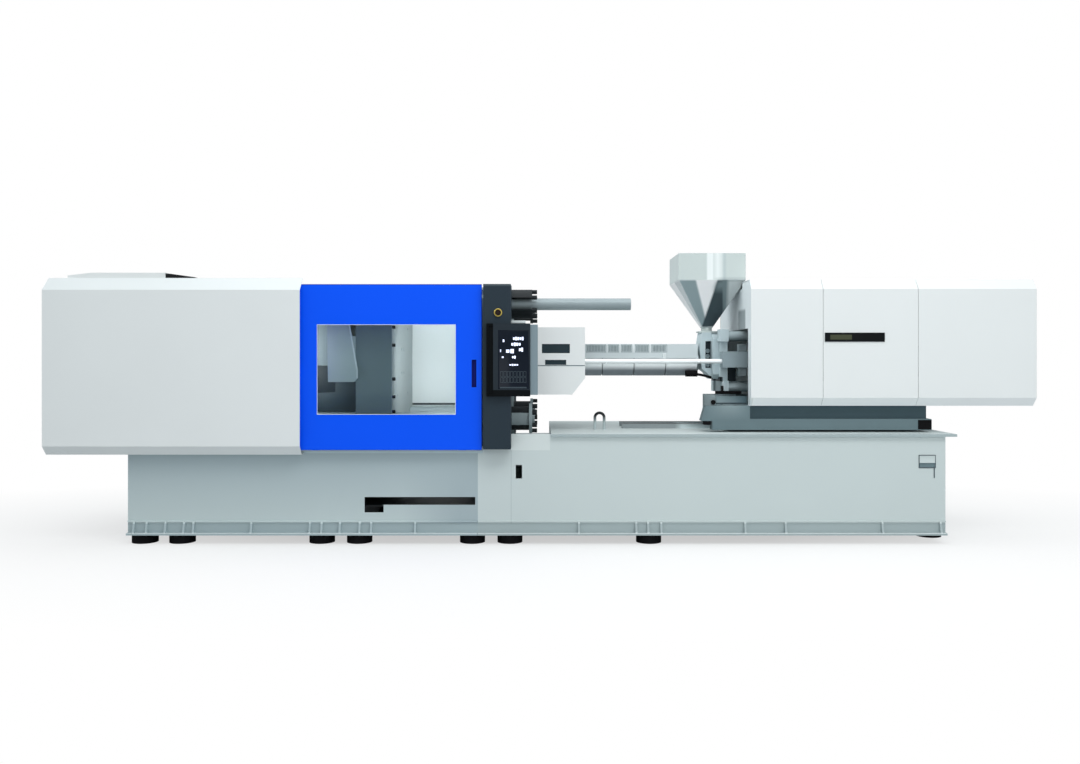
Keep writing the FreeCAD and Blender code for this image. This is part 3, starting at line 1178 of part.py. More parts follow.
def rear_plate():
    z = S.axis_height
    half = S.pusher_half_y
    holes = [(y, height, S.feed_rod_radius + S.bar_gap)
             for _, y, height in corners(S.feed_rod_y, S.feed_rod_z)]
    holes.append((0, z, S.drive_screw_radius + S.pin_gap))
    plate = outline("rear_plate_body", "YZ",
                    [(-half, S.plinth_high), (half, S.plinth_high), (half, z + S.pusher_half_z),
                     (-half, z + S.pusher_half_z)], (S.rear_plate_left, S.rear_plate_right), holes)
    servo = rod("feed_servo", S.servo_radius,
                (S.rear_plate_right, S.rear_plate_right + S.servo_length), 0, z)
    hollow = rod("feed_servo_bore", S.drive_screw_radius + S.pin_gap,
                 (S.rear_plate_right - 1, S.rear_plate_right + 120), 0, z)
    node(plate, "injection_rear_plate")
    node(cut("feed_servo_cut", servo, hollow), "injection_servo_motor")


def pusher_frame():
    """Box frame on the tie rods: thrust wall in front, ball screw nut wall behind."""
    z = S.axis_height
    left, wall, back = S.pusher_left, S.pusher_wall, S.pusher_back
    right = back + wall
    front = block("pusher_front", (left, left + wall), both(S.pusher_half_y), both_about(z, S.pusher_half_z))
    rear = block("pusher_rear", (back, right), both(S.pusher_half_y - 160), both_about(z, S.pusher_half_z))
    beams = [block(f"pusher_beam_{word}", (left, right), both(S.pusher_half_y - 160), span)
             for word, span in (("upper", (z + S.pusher_half_z - S.pusher_beam, z + S.pusher_half_z)),
                                ("lower", (z - S.pusher_half_z, z - S.pusher_half_z + S.pusher_beam)))]
    rods = [rod(f"pusher_rod_{word}", S.feed_rod_radius + S.bar_gap, (left - 1, right + 1), y, height)
            for word, y, height in corners(S.feed_rod_y, S.feed_rod_z)]
    shaft = rod("pusher_shaft_bore", S.barrel_bore, (left - 1, left + wall + 1), 0, z)
    nut = rod("pusher_nut_bore", S.drive_screw_radius + S.pin_gap, (back - 1, right + 1), 0, z)
    node(cut("pusher_cut", fuse("pusher_weld", front, rear, *beams), *rods, shaft, nut), "pusher_frame")
    top = z + S.pusher_half_z
    box = S.small_motor_half
    motor = block("small_motor_body", (left + 10, left + 240), both(box), (top, top + S.small_motor_high))
    case_top = top + S.small_motor_high - 20
    belt_case = block("small_motor_case", (left - 50, left - S.bar_gap), both(box), (z + 80, case_top))
    bridge = block("small_motor_bridge", (left - 1, left + 11), both(box), (top, case_top))
    node(fuse("small_motor_weld", motor, belt_case, bridge), "plasticising_motor")


def screws():
    z = S.axis_height
    start = S.barrel_left + S.screw_start
    shaft_left = start + 60
    shaft = rod("feed_screw_shaft", S.screw_shaft, (shaft_left, S.pusher_left + S.pusher_wall), 0, z)
    point = cone("feed_screw_point", (6, S.screw_shaft), (start, shaft_left + 1), 0, z)
    node(fuse("feed_screw_weld", shaft, point), "plasticising_screw")
    node(rod("feed_drive_screw", S.drive_screw_radius, (S.drive_screw_left, S.rear_plate_right + 110), 0, z),
         "injection_ball_screw")


def carriage_base():
    """The slide under the injection unit: a body on the rails, one arm in front and a plinth on top."""
    half = S.carriage_half_width
    left, right, low, high = S.carriage_left, S.carriage_right, S.carriage_low, S.carriage_high
    body = outline("carriage_body", "XZ",
                   [(S.carriage_body_left, low), (right, low), (right, S.carriage_step),
                    (right - 28, S.carriage_step), (right - 28, high), (S.carriage_body_left, high)],
                   both(half))
    front_arm = outline("carriage_arm", "XZ",
                        [(S.arm_foot_left, low), (S.carriage_body_left + 1, low),
                         (S.carriage_body_left + 1, high), (left + 34, high), (left, S.arm_foot_low),
                         (S.arm_foot_left, S.arm_foot_low)], across(-1, S.arm_inner, half))
    box = block("carriage_arm_box", (S.arm_box_left, S.arm_box_right),
                across(-1, S.arm_box_inner, S.arm_box_outer), (high - 1, S.arm_box_high))
    plinth = block("carriage_plinth", (S.plinth_left, S.plinth_right), both(S.plinth_half_width),
                   (high - 1, S.plinth_high))
    tongue = block("carriage_tongue", (S.plinth_left, S.carriage_body_left + 1), both(S.plinth_half_width),
                   (S.carriage_step, high))
    groove_top = feed_rail_top + S.runner_gap
    tools = []
    for word, side in SIDES:
        tools.append(block(f"carriage_groove_{word}", (S.plinth_left - 1, right + 1),
                           across(side, S.feed_rail_inner - 3, S.feed_rail_outer + 3),
                           (low - 1, groove_top)))
        tools.append(block(f"carriage_hollow_{word}", (S.carriage_body_left + 60, right - 100),
                           across(side, S.feed_rail_outer + 60, half - 70), (low - 1, S.carriage_step + 40)))
        tools.append(block(f"carriage_ledge_{word}", (S.carriage_shadow_left, right + 1),
                           across(side, half - S.carriage_shadow_deep, half + 1),
                           (S.carriage_step, high + 1)))
    return node(cut("carriage_cut", fuse("carriage_weld", body, front_arm, box, plinth, tongue), *tools),
                "carriage_base")


def hopper():
    """Square sheet hopper with an open top and a pyramid foot."""
    middle = (S.hopper_left + S.hopper_right) / 2
    half_x = (S.hopper_right - S.hopper_left) / 2
    outer_box = block("hopper_box", (S.hopper_left, S.hopper_right), both(S.hopper_half_depth),
                      (S.hopper_shoulder, S.hopper_high))
    inner_box = block("hopper_box_inside", (S.hopper_left + S.hopper_sheet, S.hopper_right - S.hopper_sheet),
                      both(S.hopper_half_depth - S.hopper_sheet),
                      (S.hopper_shoulder - 0.01, S.hopper_high + 1))
    outer = pyramid("hopper_funnel", half_x, S.hopper_half_depth, S.hopper_mouth, S.hopper_low,
                    S.hopper_shoulder)
    inner = pyramid("hopper_funnel_inside", half_x - S.hopper_sheet, S.hopper_half_depth - S.hopper_sheet,
                    S.hopper_mouth - S.hopper_sheet, S.hopper_low - 0.01, S.hopper_shoulder + 0.01)
    for funnel in (outer, inner):
        place(funnel, middle, 0, 0)
    flange_low = S.housing_high
    neck = rod("hopper_neck", S.throat_radius, middle, 0, (flange_low, S.hopper_low + 2))
    flange = block("hopper_flange", both_about(middle, 75), both(75), (flange_low, flange_low + 12))
    bore = rod("hopper_neck_bore", S.throat_bore, middle, 0, (flange_low - 1, S.hopper_low + 60))
    shell = cut("hopper_shell", fuse("hopper_outer", outer_box, outer),
                fuse("hopper_inner", inner_box, inner))
    return node(cut("hopper_cut", fuse("hopper_weld", shell, neck, flange), bore), "hopper")


def pyramid(name, half_x, half_y, mouth, low, high):
    """A four-sided taper that narrows downwards, centred on the vertical axis."""
    made = doc.addObject("Part::Wedge", name)
    # the wedge's own Y is its height, so it is stood up by a quarter turn about X
    for prop, number in (("Xmin", -mouth), ("Xmax", mouth), ("Zmin", -mouth), ("Zmax", mouth),
                         ("X2min", -half_x), ("X2max", half_x), ("Z2min", -half_y), ("Z2max", half_y),
                         ("Ymin", low), ("Ymax", high)):
        bind(made, prop, number)
    made.Placement.Rotation = FreeCAD.Rotation(FreeCAD.Vector(1, 0, 0), 90)
    return made


def injection_cover():
    sheet = S.cover_sheet
    out, roof = S.feed_cover_half, S.feed_cover_half - S.feed_cover_fold
    low, high = S.feed_cover_low, S.feed_cover_high
    fold_low, fold_high = S.feed_cover_fold_low, S.feed_cover_fold_high
    end = S.half_length
    spans = ((S.feed_cover_left, S.feed_cover_seam - S.seam_gap / 2),
             (S.feed_cover_seam + S.seam_gap / 2, S.feed_cover_seam_two - S.seam_gap / 2),
             (S.feed_cover_seam_two + S.seam_gap / 2, end - sheet - 0.3))
    panels = []
    for number, span in enumerate(spans, start=1):
        points = [(-roof, high), (-out, fold_high), (-out, fold_low), (-roof, low), (60 - roof, low),
                  (60 - roof, low + sheet), (2 - roof, low + sheet), (sheet - out, fold_low + 2),
                  (sheet - out, fold_high - 2), (-roof, high - sheet * 1.4)]
        side = outline(f"feed_cover_front_{number}", "YZ", points, span)
        panels += [side, mirrored(f"feed_cover_rear_{number}", side)]
    notch = block("feed_cover_notch", (S.feed_cover_left - 1, S.hopper_right + S.hopper_notch),
                  both(S.hopper_half_depth + S.hopper_notch), (high - sheet - 50, high + 1))
    top = block("feed_cover_top", (S.feed_cover_left, end - sheet - 0.3), both(roof), (high - sheet, high))
    floor = block("feed_cover_floor", (S.carriage_right + 20, end - sheet - 0.3), both(roof - 60.3),
                  (low, low + sheet))
    tail = outline("feed_cover_end", "YZ",
                   [(-roof, high), (-out, fold_high), (-out, fold_low), (-roof, low), (roof, low),
                    (out, fold_low), (out, fold_high), (roof, high)], (end - sheet, end))
    z = S.axis_height
    left = S.feed_cover_left
    mouth_low = S.feed_cover_low + sheet + 0.3
    # the left end plate is a frame round the tie rods and the slide
    gap, inside, side = S.head_gap, out - sheet - 0.5, out - S.head_side
    head = outline("feed_cover_head", "YZ",
                   [(-roof, high - sheet - gap), (-inside, fold_high - gap), (-inside, fold_low + gap),
                    (gap - roof, mouth_low), (-side, mouth_low), (-side, z + S.mouth_high),
                    (side, z + S.mouth_high), (side, mouth_low), (roof - gap, mouth_low),
                    (inside, fold_low + gap), (inside, fold_high - gap), (roof, high - sheet - gap)],
                   (left + gap, left + gap + S.head_thick))
    node(group("feed_cover_set", *panels, cut("feed_cover_roof", top, notch), floor, tail,
               cut("feed_cover_head_cut", head, notch)), "injection_cover")
    display = block("display_case", (S.display_left, S.display_right),
                    (-out - S.display_out, -out), (S.display_low, S.display_high))
    node(display, "injection_display")


def build():
    clamp_base()
    injection_base()
    levelling_feet()
    slide_rails()
    lifting_eye()
    clamp_cover()
    roof_hatch()
    gates()
    gate_rails()
    column_covers()
    control_panel()
    stop_button()
    fixed_platen()
    moving_platen()
    tail_platen()
    pins("platen_pin_set", "platen_pins", platen_pin_x, S.platen_lug_out)
    pins("tail_pin_set", "tail_pins", tail_pin_x, S.lug_out_high)
    tie_bars()
    platen_tie_nuts()
    die_height_nuts()
    die_height_drive()
    clamp_servo_motor()
    clamp_screw_nut()
    crosshead()
    toggle_links()
    ejector()
    purge_guard()
    touch_rods()
    screw_barrel()
    heater_jackets()
    barrel_cover()
    feed_housing()
    touch_drives()
    injection_tie_rods()
    rear_plate()
    pusher_frame()
    screws()
    carriage_base()
    hopper()
    injection_cover()


def write():
    doc.recompute()
    failed = [made.Name for made in doc.Objects if "Invalid" in made.State or "Error" in made.State]
    for made in nodes:
        if made.Shape.isNull() or not made.Shape.isValid():
            failed.append(made.Label)
    if failed:
        raise RuntimeError("these did not build: " + ", ".join(failed))
    os.makedirs("parts", exist_ok=True)
    for made in nodes:
        made.Shape.exportStep(f"parts/{made.Label}.step")
    print(len(nodes), "pieces written")


build()
write()
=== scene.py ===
import json
import math

import bmesh
import bpy
from mathutils import Matrix, Vector


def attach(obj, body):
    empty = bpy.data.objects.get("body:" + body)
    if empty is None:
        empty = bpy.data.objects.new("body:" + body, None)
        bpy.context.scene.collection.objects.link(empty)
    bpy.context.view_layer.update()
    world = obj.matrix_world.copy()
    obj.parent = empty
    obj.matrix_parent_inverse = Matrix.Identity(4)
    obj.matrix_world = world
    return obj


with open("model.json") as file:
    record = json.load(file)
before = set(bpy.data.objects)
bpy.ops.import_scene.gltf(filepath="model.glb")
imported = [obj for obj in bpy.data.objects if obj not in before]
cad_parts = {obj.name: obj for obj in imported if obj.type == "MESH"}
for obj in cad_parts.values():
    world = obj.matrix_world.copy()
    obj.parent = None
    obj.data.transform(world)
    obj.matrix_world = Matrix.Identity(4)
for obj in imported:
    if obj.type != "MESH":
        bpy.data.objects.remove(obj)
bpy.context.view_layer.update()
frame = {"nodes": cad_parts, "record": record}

nodes = frame["nodes"]
scene = bpy.context.scene

# colours to change, as sRGB hex
colours = {
    "coverWhite": "eaedec", "gateBlue": "0058ff", "gateDeep": "061270", "gateLiner": "eef4f4",
    "baseGrey": "ccd6d5", "clampBaseShadedGrey": "b1c0c4", "clampBaseLitLow": "cddada", "bayShade": "070b0d",
    "columnDark": "2b3740", "columnPale": "4a565c", "panelBlack": "05090c", "panelSlate": "2a3239",
    "panelSide": "84949b", "screenGlass": "141b26", "screenMark": "dfe6ff", "keyLine": "49555c",
    "window": "eef4f6", "platenGrey": "7a898c", "castPale": "a5b8be", "mouldFace": "b3bcbd",
    "shroud": "c0cbcb", "shroudPale": "89979b", "shroudShade": "3d4d55", "linkGrey": "6c7678",
    "pinSteel": "a9b0b3", "barGrey": "98a4a7", "tieRod": "a9b7ba", "rodBright": "fafdfd",
    "nutBlack": "1a2023", "nutGrey": "97a5a8", "feedGrey": "becdd1", "recess": "27333a",
    "driveGrey": "8d9ca1", "carriageGrey": "6a7d82", "ledgeShade": "42565d", "armBox": "737f82",
    "plinthHighlight": "b5c4c6", "jacket": "fbffff", "jacketUnderShade": "868c92", "barrelCover": "d0d9db",
    "louvre": "97a4a7", "strap": "e3eaeb", "pane": "27363c", "guardLapShade": "b9c8c8",
    "hopper": "bdc7c5", "hopperGlint": "f7fbfb", "hopperDeepShade": "414e53", "hopperMid": "97a8ac",
    "rubber": "100f11", "buttonDark": "2c211d", "collarGold": "dcc263", "motorDark": "24282b",
    "lcdOlive": "33391a", "eyePale": "b9c6c7", "foldPale": "e4e9e9", "foldUnderLit": "fafdfd",
    "depth": "2f3c43", "railPale": "ccd8da", "railGrey": "8b9395", "headPlate": "e4ecee",
    "headShade": "6f7e82", "hopperFunnelLit": "ffffff", "hopperShade": "768689", "hopperSide": "cfd9d7",
    "hopperOuter": "c5cdcd", "lipShade": "aab7b8", "ribPale": "f2f7f7", "seam": "82949a",
    "seamPale": "a9b6b6", "cheekPale": "d9e1df", "clampSkirtShade": "adbdc0", "armPad": "7b8c90",
    "floor": "f4f6f6",
}
camera = {
    "place": (-0.062, -7.85, 1.436), "lens": 30.70, "shiftX": 0.0006, "shiftY": -0.0222, "reach": 100,
}
lamps = (
    {"name": "key", "place": (1.5, -5.5, 8.5), "aim": (0.3, 0, 1.3), "size": (9, 3.5), "power": 370},
    {"name": "fill", "place": (3.2, -9.0, 3.0), "aim": (0.8, 0, 1.3), "size": (6, 4), "power": 115},
    {"name": "side", "place": (-3.2, -0.2, 4.2), "aim": (1.4, -0.1, 1.75), "size": (1.5, 1.5),
     "power": 6, "spread": 44},
    {"name": "top", "place": (0, 0.5, 6.5), "aim": (0, 0, 1.0), "size": (9, 4), "power": 150},
    {"name": "mouldRight", "place": (-0.76, -0.71, 1.36), "aim": (-1.05, 0.7, 1.34), "size": (0.35, 0.62),
     "power": 5.0, "spread": 110, "colour": (1.0, 0.95, 0.90)},
    {"name": "mouldLeft", "place": (-2.02, -0.74, 1.45), "aim": (-1.67, -0.4, 1.36), "size": (0.1, 0.5),
     "power": 2.4, "spread": 150, "colour": (1.0, 0.95, 0.90)},
)
lampColour = (0.985, 0.985, 0.99)
white = (1, 1, 1, 1)


def linear(hexText):
    # a solid colour as linear light from its sRGB hex
    parts = [int(hexText[i:i + 2], 16) / 255 for i in (0, 2, 4)]
    return tuple(p / 12.92 if p <= 0.04045 else ((p + 0.055) / 1.055) ** 2.4 for p in parts) + (1.0,)


def addNode(tree, kind, inputs=None, **settings):
    made = tree.nodes.new(kind)
    for key, value in settings.items():
        setattr(made, key, value)
    for key, value in (inputs or {}).items():
        if isinstance(value, bpy.types.NodeSocket):
            tree.links.new(value, made.inputs[key])
        else:
            made.inputs[key].default_value = value
    return made


def surfaceOf(tree):
    out = next(n for n in tree.nodes if n.type == "OUTPUT_MATERIAL")
    return out.inputs["Surface"]


def newMaterial(name):
    made = bpy.data.materials.new(name)
    made.use_nodes = True
    tree = made.node_tree
    tree.nodes.clear()
    coords = addNode(tree, "ShaderNodeTexCoord").outputs["Object"]
    shader = addNode(tree, "ShaderNodeBsdfPrincipled")
    addNode(tree, "ShaderNodeOutputMaterial")
    tree.links.new(shader.outputs[0], surfaceOf(tree))
    return made, tree, shader, coords


def beyond(tree, coords, plane, soft):
    # 1 on the side of a plane that its normal points to, 0 on the other, fading over soft
    *normal, distance = plane
    along = addNode(tree, "ShaderNodeVectorMath", {0: coords, 1: tuple(normal)}, operation="DOT_PRODUCT")
    faded = {"Value": along.outputs["Value"], "From Min": distance - soft, "From Max": distance + soft}
    return addNode(tree, "ShaderNodeMapRange", faded).outputs[0]


def zoned(tree, coords, colour, zones):
    # a colour that changes on parts of the piece: each zone is (colour name, planes, soft)
    for key, planes, soft in zones:
        mask = None
        for plane in planes:
            side = beyond(tree, coords, plane, soft)
            if mask is None:
                mask = side
            else:
                mask = addNode(tree, "ShaderNodeMath", {0: mask, 1: side}, operation="MULTIPLY").outputs[0]
        mix = addNode(tree, "ShaderNodeMix", {"Factor": mask}, data_type="RGBA")
        for end, value in (("A", colour), ("B", linear(colours[key]))):
            place = next(i for i in mix.inputs if i.name == end and i.type == "RGBA")
            if isinstance(value, bpy.types.NodeSocket):
                tree.links.new(value, place)
            else:
                place.default_value = value
        colour = next(o for o in mix.outputs if o.type == "RGBA")
    return colour


drifting = {"detail": 3.0, "from": 0.3, "to": 0.7}


def varied(tree, coords, colour, amount, scale, low, high):
    # a colour that drifts a little over the surface, and a roughness between two values
    drift = addNode(tree, "ShaderNodeTexNoise", {
        "Vector": coords, "Scale": scale, "Detail": drifting["detail"]})
    shade = addNode(tree, "ShaderNodeHueSaturation", {"Color": colour})
    for target, least, most in ((shade.inputs["Value"], 1 - amount, 1 + amount), (None, low, high)):
        ranged = addNode(tree, "ShaderNodeMapRange", {
            "Value": drift.outputs[0], "From Min": drifting["from"], "From Max": drifting["to"],
            "To Min": least, "To Max": most})
        if target:
            tree.links.new(ranged.outputs[0], target)
    return shade.outputs[0], ranged.outputs[0]


def bumped(tree, coords, scale, strength, distance, detail=2.0, stretch=(1, 1, 1)):
    where = addNode(tree, "ShaderNodeMapping", {"Vector": coords, "Scale": stretch}).outputs[0]
    grain = addNode(tree, "ShaderNodeTexNoise", {"Vector": where, "Scale": scale, "Detail": detail})
    return addNode(tree, "ShaderNodeBump", {"Height": grain.outputs[0], "Strength": strength,
                                            "Distance": distance}).outputs[0]


# each kind of surface: how its colour drifts (amount, scale), and the scale and height of its grain
usualGloss = 0.25
enamel = {"drift": (0.012, 1.3), "scale": 450, "height": 0.0006, "coatRough": 0.18}
casting = {"drift": (0.035, 6.0), "grain": (160, 0.3, 0.001, 6.0)}
machined = {"driftScale": 9.0, "scale": 300, "height": 0.0004, "detail": 3.0}
moulded = {"drift": (0.03, 12.0), "scale": 900, "height": 0.0003, "gloss": 0.12}


def solid(name, key, drift, rough, grain, zones=(), **extra):
    # drift is (amount, scale), rough is (least, most)
    # grain is (scale, strength, distance, detail, stretch), the last two where they aren't usual
    made, tree, shader, coords = newMaterial(name)
    base = zoned(tree, coords, linear(colours[key]), zones)
    colour, roughness = varied(tree, coords, base, *drift, *rough)
    tree.links.new(colour, shader.inputs["Base Color"])
    tree.links.new(roughness, shader.inputs["Roughness"])
    tree.links.new(bumped(tree, coords, *grain), shader.inputs["Normal"])
    shader.inputs["Specular IOR Level"].default_value = usualGloss
    for socket, value in extra.items():
        shader.inputs[socket.replace("_", " ")].default_value = value
    return made


def paint(name, key, zones=(), rough=(0.38, 0.48), coat=0.06, peel=0.05, gloss=usualGloss):
    # sprayed enamel on sheet steel, with a faint orange peel
    return solid(name, key, enamel["drift"], rough, (enamel["scale"], peel, enamel["height"]), zones,
                 Coat_Weight=coat, Coat_Roughness=enamel["coatRough"], Specular_IOR_Level=gloss)


def castPaint(name, key, zones=(), rough=(0.5, 0.62)):
    # painted casting with a sandy skin
    return solid(name, key, casting["drift"], rough, casting["grain"], zones)


def metal(name, key, rough, stretch=(1, 1, 1), grain=0.12, zones=(), drift=0.03, metallic=1.0):
    # bare metal whose tool marks run the way that stretch is smallest
    marks = (machined["scale"], grain, machined["height"], machined["detail"], stretch)
    return solid(name, key, (drift, machined["driftScale"]), rough, marks, zones, Metallic=metallic)


def plastic(name, key, rough=(0.4, 0.5), grain=0.2, zones=()):
    # moulded plastic or rubber with a fine texture
    return solid(name, key, moulded["drift"], rough, (moulded["scale"], grain, moulded["height"]), zones,
                 Specular_IOR_Level=moulded["gloss"])


flecks = {"scale": 90.0, "least": 0.9, "most": 1.1}


def glowing(name, key, strength):
    # a lit part of a display, whose light varies a little from spot to spot
    made, tree, shader, coords = newMaterial(name)
    fleck = addNode(tree, "ShaderNodeTexNoise", {"Vector": coords, "Scale": flecks["scale"]})
    level = addNode(tree, "ShaderNodeMapRange", {
        "Value": fleck.outputs[0], "To Min": strength * flecks["least"],
        "To Max": strength * flecks["most"]})
    for socket in ("Base Color", "Emission Color"):
        shader.inputs[socket].default_value = linear(colours[key])
    tree.links.new(level.outputs[0], shader.inputs["Emission Strength"])
    return made


clearLook = {"hazeScale": 3.0, "smoothest": 0.01, "roughest": 0.05, "bend": 1.25}


def clearSheet(name, key):
    # polycarbonate pane, a little tinted, that lets light straight through
    made, tree, shader, coords = newMaterial(name)
    tint = linear(colours[key])
    shader.inputs["Base Color"].default_value = tint
    clear = addNode(tree, "ShaderNodeBsdfTransparent", {"Color": tint})
    haze = addNode(tree, "ShaderNodeTexNoise", {"Vector": coords, "Scale": clearLook["hazeScale"]})
    soft = addNode(tree, "ShaderNodeMapRange", {
        "Value": haze.outputs[0], "To Min": clearLook["smoothest"], "To Max": clearLook["roughest"]})
    gloss = addNode(tree, "ShaderNodeBsdfGlossy", {"Color": white, "Roughness": soft.outputs[0]})
    edge = addNode(tree, "ShaderNodeFresnel", {"IOR": clearLook["bend"]})
    parts = {0: edge.outputs[0], 1: clear.outputs[0], 2: gloss.outputs[0]}
    mix = addNode(tree, "ShaderNodeMixShader", parts)
    tree.links.new(mix.outputs[0], surfaceOf(tree))
    return made


def over(axis, value):
    # the plane across an axis whose far side counts
    return (*(1.0 if axis == name else 0.0 for name in "xyz"), value)


def under(axis, value):
    # the plane across an axis whose near side counts
    return (*(-1.0 if axis == name else 0.0 for name in "xyz"), -value)


def between(axis, low, high):
    return [over(axis, low), under(axis, high)]


def beside(x0, z0, x1, z1, turn):
    # the half space to one side of a sloping line drawn on the front: turn is 1 for +x, -1 for -x
    run, rise = x1 - x0, z1 - z0
    length = math.hypot(run, rise)
    normal = (abs(rise) / length * turn, 0.0, -run * (1 if rise > 0 else -1) / length * turn)
    return (*normal, normal[0] * x0 + normal[2] * z0)


# how softly a zone ends, in metres
hair = 0.0006
slit = 0.002

# painted shade: the bases' insides under the bed are near black, standing for the shade inside the bays
bayShadeZone = ("bayShade", [*between("y", -0.7195, 0.7195), under("z", 0.739), *between("x", -3.2465, -0.5385)],
           hair)
ribZone = ("ribPale", [under("y", -0.7535), *between("z", 0.084, 0.157)], hair)
gateZones = [
    # painted shade inside the gate's hand recess
    ("gateDeep", [over("y", -0.7905), *between("x", -0.583, -0.543), *between("z", 1.210, 1.425)], hair),
    ("gateDeep", [over("z", 1.9985)], hair),
]
# painted shade: the clamp base is darker than the injection base as shade under the clamp cover's overhang,
# lighter low down where that shade fades, and darker again on the skirt under the ledge
clampBaseZones = [
    ("clampBaseLitLow", [under("z", 0.42), under("x", -0.9)], 0.22),
    ("clampSkirtShade", [under("z", 0.157)], hair),
    ribZone,
    ("seam", [over("x", -0.5425), under("y", -0.73)], hair),
    bayShadeZone,
]
baseZones = [
    ("cheekPale", [over("z", 0.722), under("x", 0.021), under("y", -0.71)], slit),
    ("lipShade", [over("z", 0.827), over("x", 0.021), under("y", -0.74)], hair),
    ("seamPale", [*between("x", -0.2820, -0.2790), *between("z", 0.157, 0.722), under("y", -0.71)], hair),
    ("lipShade", [under("z", 0.157)], hair),
    ribZone,
    bayShadeZone,
]
columnZones = [("columnPale", [over("z", 1.985)], 0.004)]
panelZones = [
    ("panelBlack", [under("x", -0.4125)], hair),
    ("panelBlack", [under("z", 1.194), under("x", -0.1305)], hair),
    ("panelSide", [over("x", -0.1305)], hair),
]
nutZones = [
    ("nutGrey", [under("z", 1.41), under("x", -0.119)], hair),
    ("nutBlack", [under("x", -0.1445), *between("z", 0.86, 0.905)], slit),
    ("nutBlack", [under("x", -0.1445), *between("z", 1.001, 1.05)], slit),
]
# painted shade: the pocket in the housing's front and its inside beyond x 1.4375 are painted dark, standing
# for the shade in them
housingZones = [
    ("recess", [*between("x", 1.3345, 1.3835), *between("z", 1.3525, 1.5775),
                *between("y", -0.1095, 0.1095)], hair),
    ("depth", [over("x", 1.4375), *between("z", 1.24, 1.57), over("y", -0.232)], hair),
]
carriageTop = 1.0570
# painted shade on the carriage's ledge under the injection cover, and a soft painted highlight on the block
# atop its left end
carriageZones = [
    ("ledgeShade", [over("x", 1.6105), over("z", 0.9525), under("z", carriageTop)], hair),
    ("armBox", [under("x", 1.3355), over("z", carriageTop)], hair),
    ("plinthHighlight", [over("x", 1.37), over("z", carriageTop), under("x", 1.52)], 0.12),
]
# painted shade on the arm pad: darker towards its right end, and a dark band along its bottom for the shadow
# under the arm
armPadZones = [("ledgeShade", [over("x", 1.47)], 0.09), ("recess", [under("z", 1.082)], 0.003)]
hatchZones = [("rubber", [over("x", -2.9499)], hair)]
eyeZones = [("eyePale", [under("z", 0.93)], 0.03)]
railTop = 0.8865
railZones = [
    ("railPale", [over("x", 1.10), under("z", railTop)], 0.03),
    ("rubber", [over("z", railTop), over("x", 0.6)], hair),
]
headFace = 1.6105
coverZones = [
    ("foldPale", [over("z", 1.957), under("x", 0)], hair),
    ("headPlate", [under("x", headFace), *between("y", -0.6, 0.6), over("x", 1.6)], hair),
    ("headShade", [under("x", headFace), *between("y", -0.40, -0.14), *between("z", 1.66, 1.83)], 0.012),
    # painted light: the injection cover's lower fold is near white, for the light it gets from below
    ("foldUnderLit", [under("z", 1.122), over("x", 1.62)], slit),
]
# painted shade: a darker band on the hood where its upper sheet laps over the lower one
guardZones = [("guardLapShade", [*between("z", 1.371, 1.379)], hair)]
# painted shade: the heater jackets are darker below 1.352, standing for the shade on their undersides
jacketZones = [("jacketUnderShade", [under("z", 1.352)], 0.02)]
# the hopper has an upright collar over its fold, and a funnel under it that ends at its neck
hopperFold, hopperNeck = 2.078, 1.7
collarFront = [over("z", hopperFold), under("y", -0.2675)]
funnelFront = [under("y", -0.02), under("z", hopperFold), over("z", hopperNeck)]
darkSlope = beside(1.405, hopperFold, 1.350, 1.85, 1)
# painted reflection and painted shade: the collar carries bright and mid-grey painted reflection stripes and
# a paler left side; the funnel is near white where lit, with dark and mid bands of painted shade across its
# front and a paler right edge
hopperZones = [
    ("hopperGlint", [*between("x", 1.318, 1.368), *collarFront], 0.006),
    ("hopperGlint", [*between("x", 1.375, 1.440), *collarFront], 0.03),
    ("hopperMid", [*between("x", 1.452, 1.470), *collarFront], 0.012),
    ("hopperFunnelLit", [under("z", hopperFold), over("z", hopperNeck)], 0.002),
    ("hopperSide", [over("z", hopperFold), under("x", 1.0868)], hair),
    ("hopperMid", [*funnelFront, beside(1.086, hopperFold, 1.3185, 1.692, 1),
                   beside(1.226, hopperFold, 1.316, 1.830, -1)], 0.008),
    ("hopperDeepShade", [*funnelFront, darkSlope], 0.008),
    ("hopperShade", [*funnelFront, beside(1.446, hopperFold, 1.482, 1.80, 1)], 0.008),
    ("hopperShade", [under("y", -0.02), under("z", hopperFold), over("z", 2.0), darkSlope], 0.03),
    ("hopperOuter", [*funnelFront, beside(1.492, hopperFold, 1.512, 1.80, 1)], 0.016),
]
platenZones = [
    ("castPale", [under("x", -1.545)], slit),
    ("mouldFace", [over("x", -1.2262)], hair),
]
# painted shade: a dark band along the stiffener on the rear gate's lining
linerZones = [("recess", [*between("z", 0.999, 1.015)], slit)]
dull = {"rough": (0.45, 0.55), "coat": 0.0}
alongX = (0.05, 1, 1)
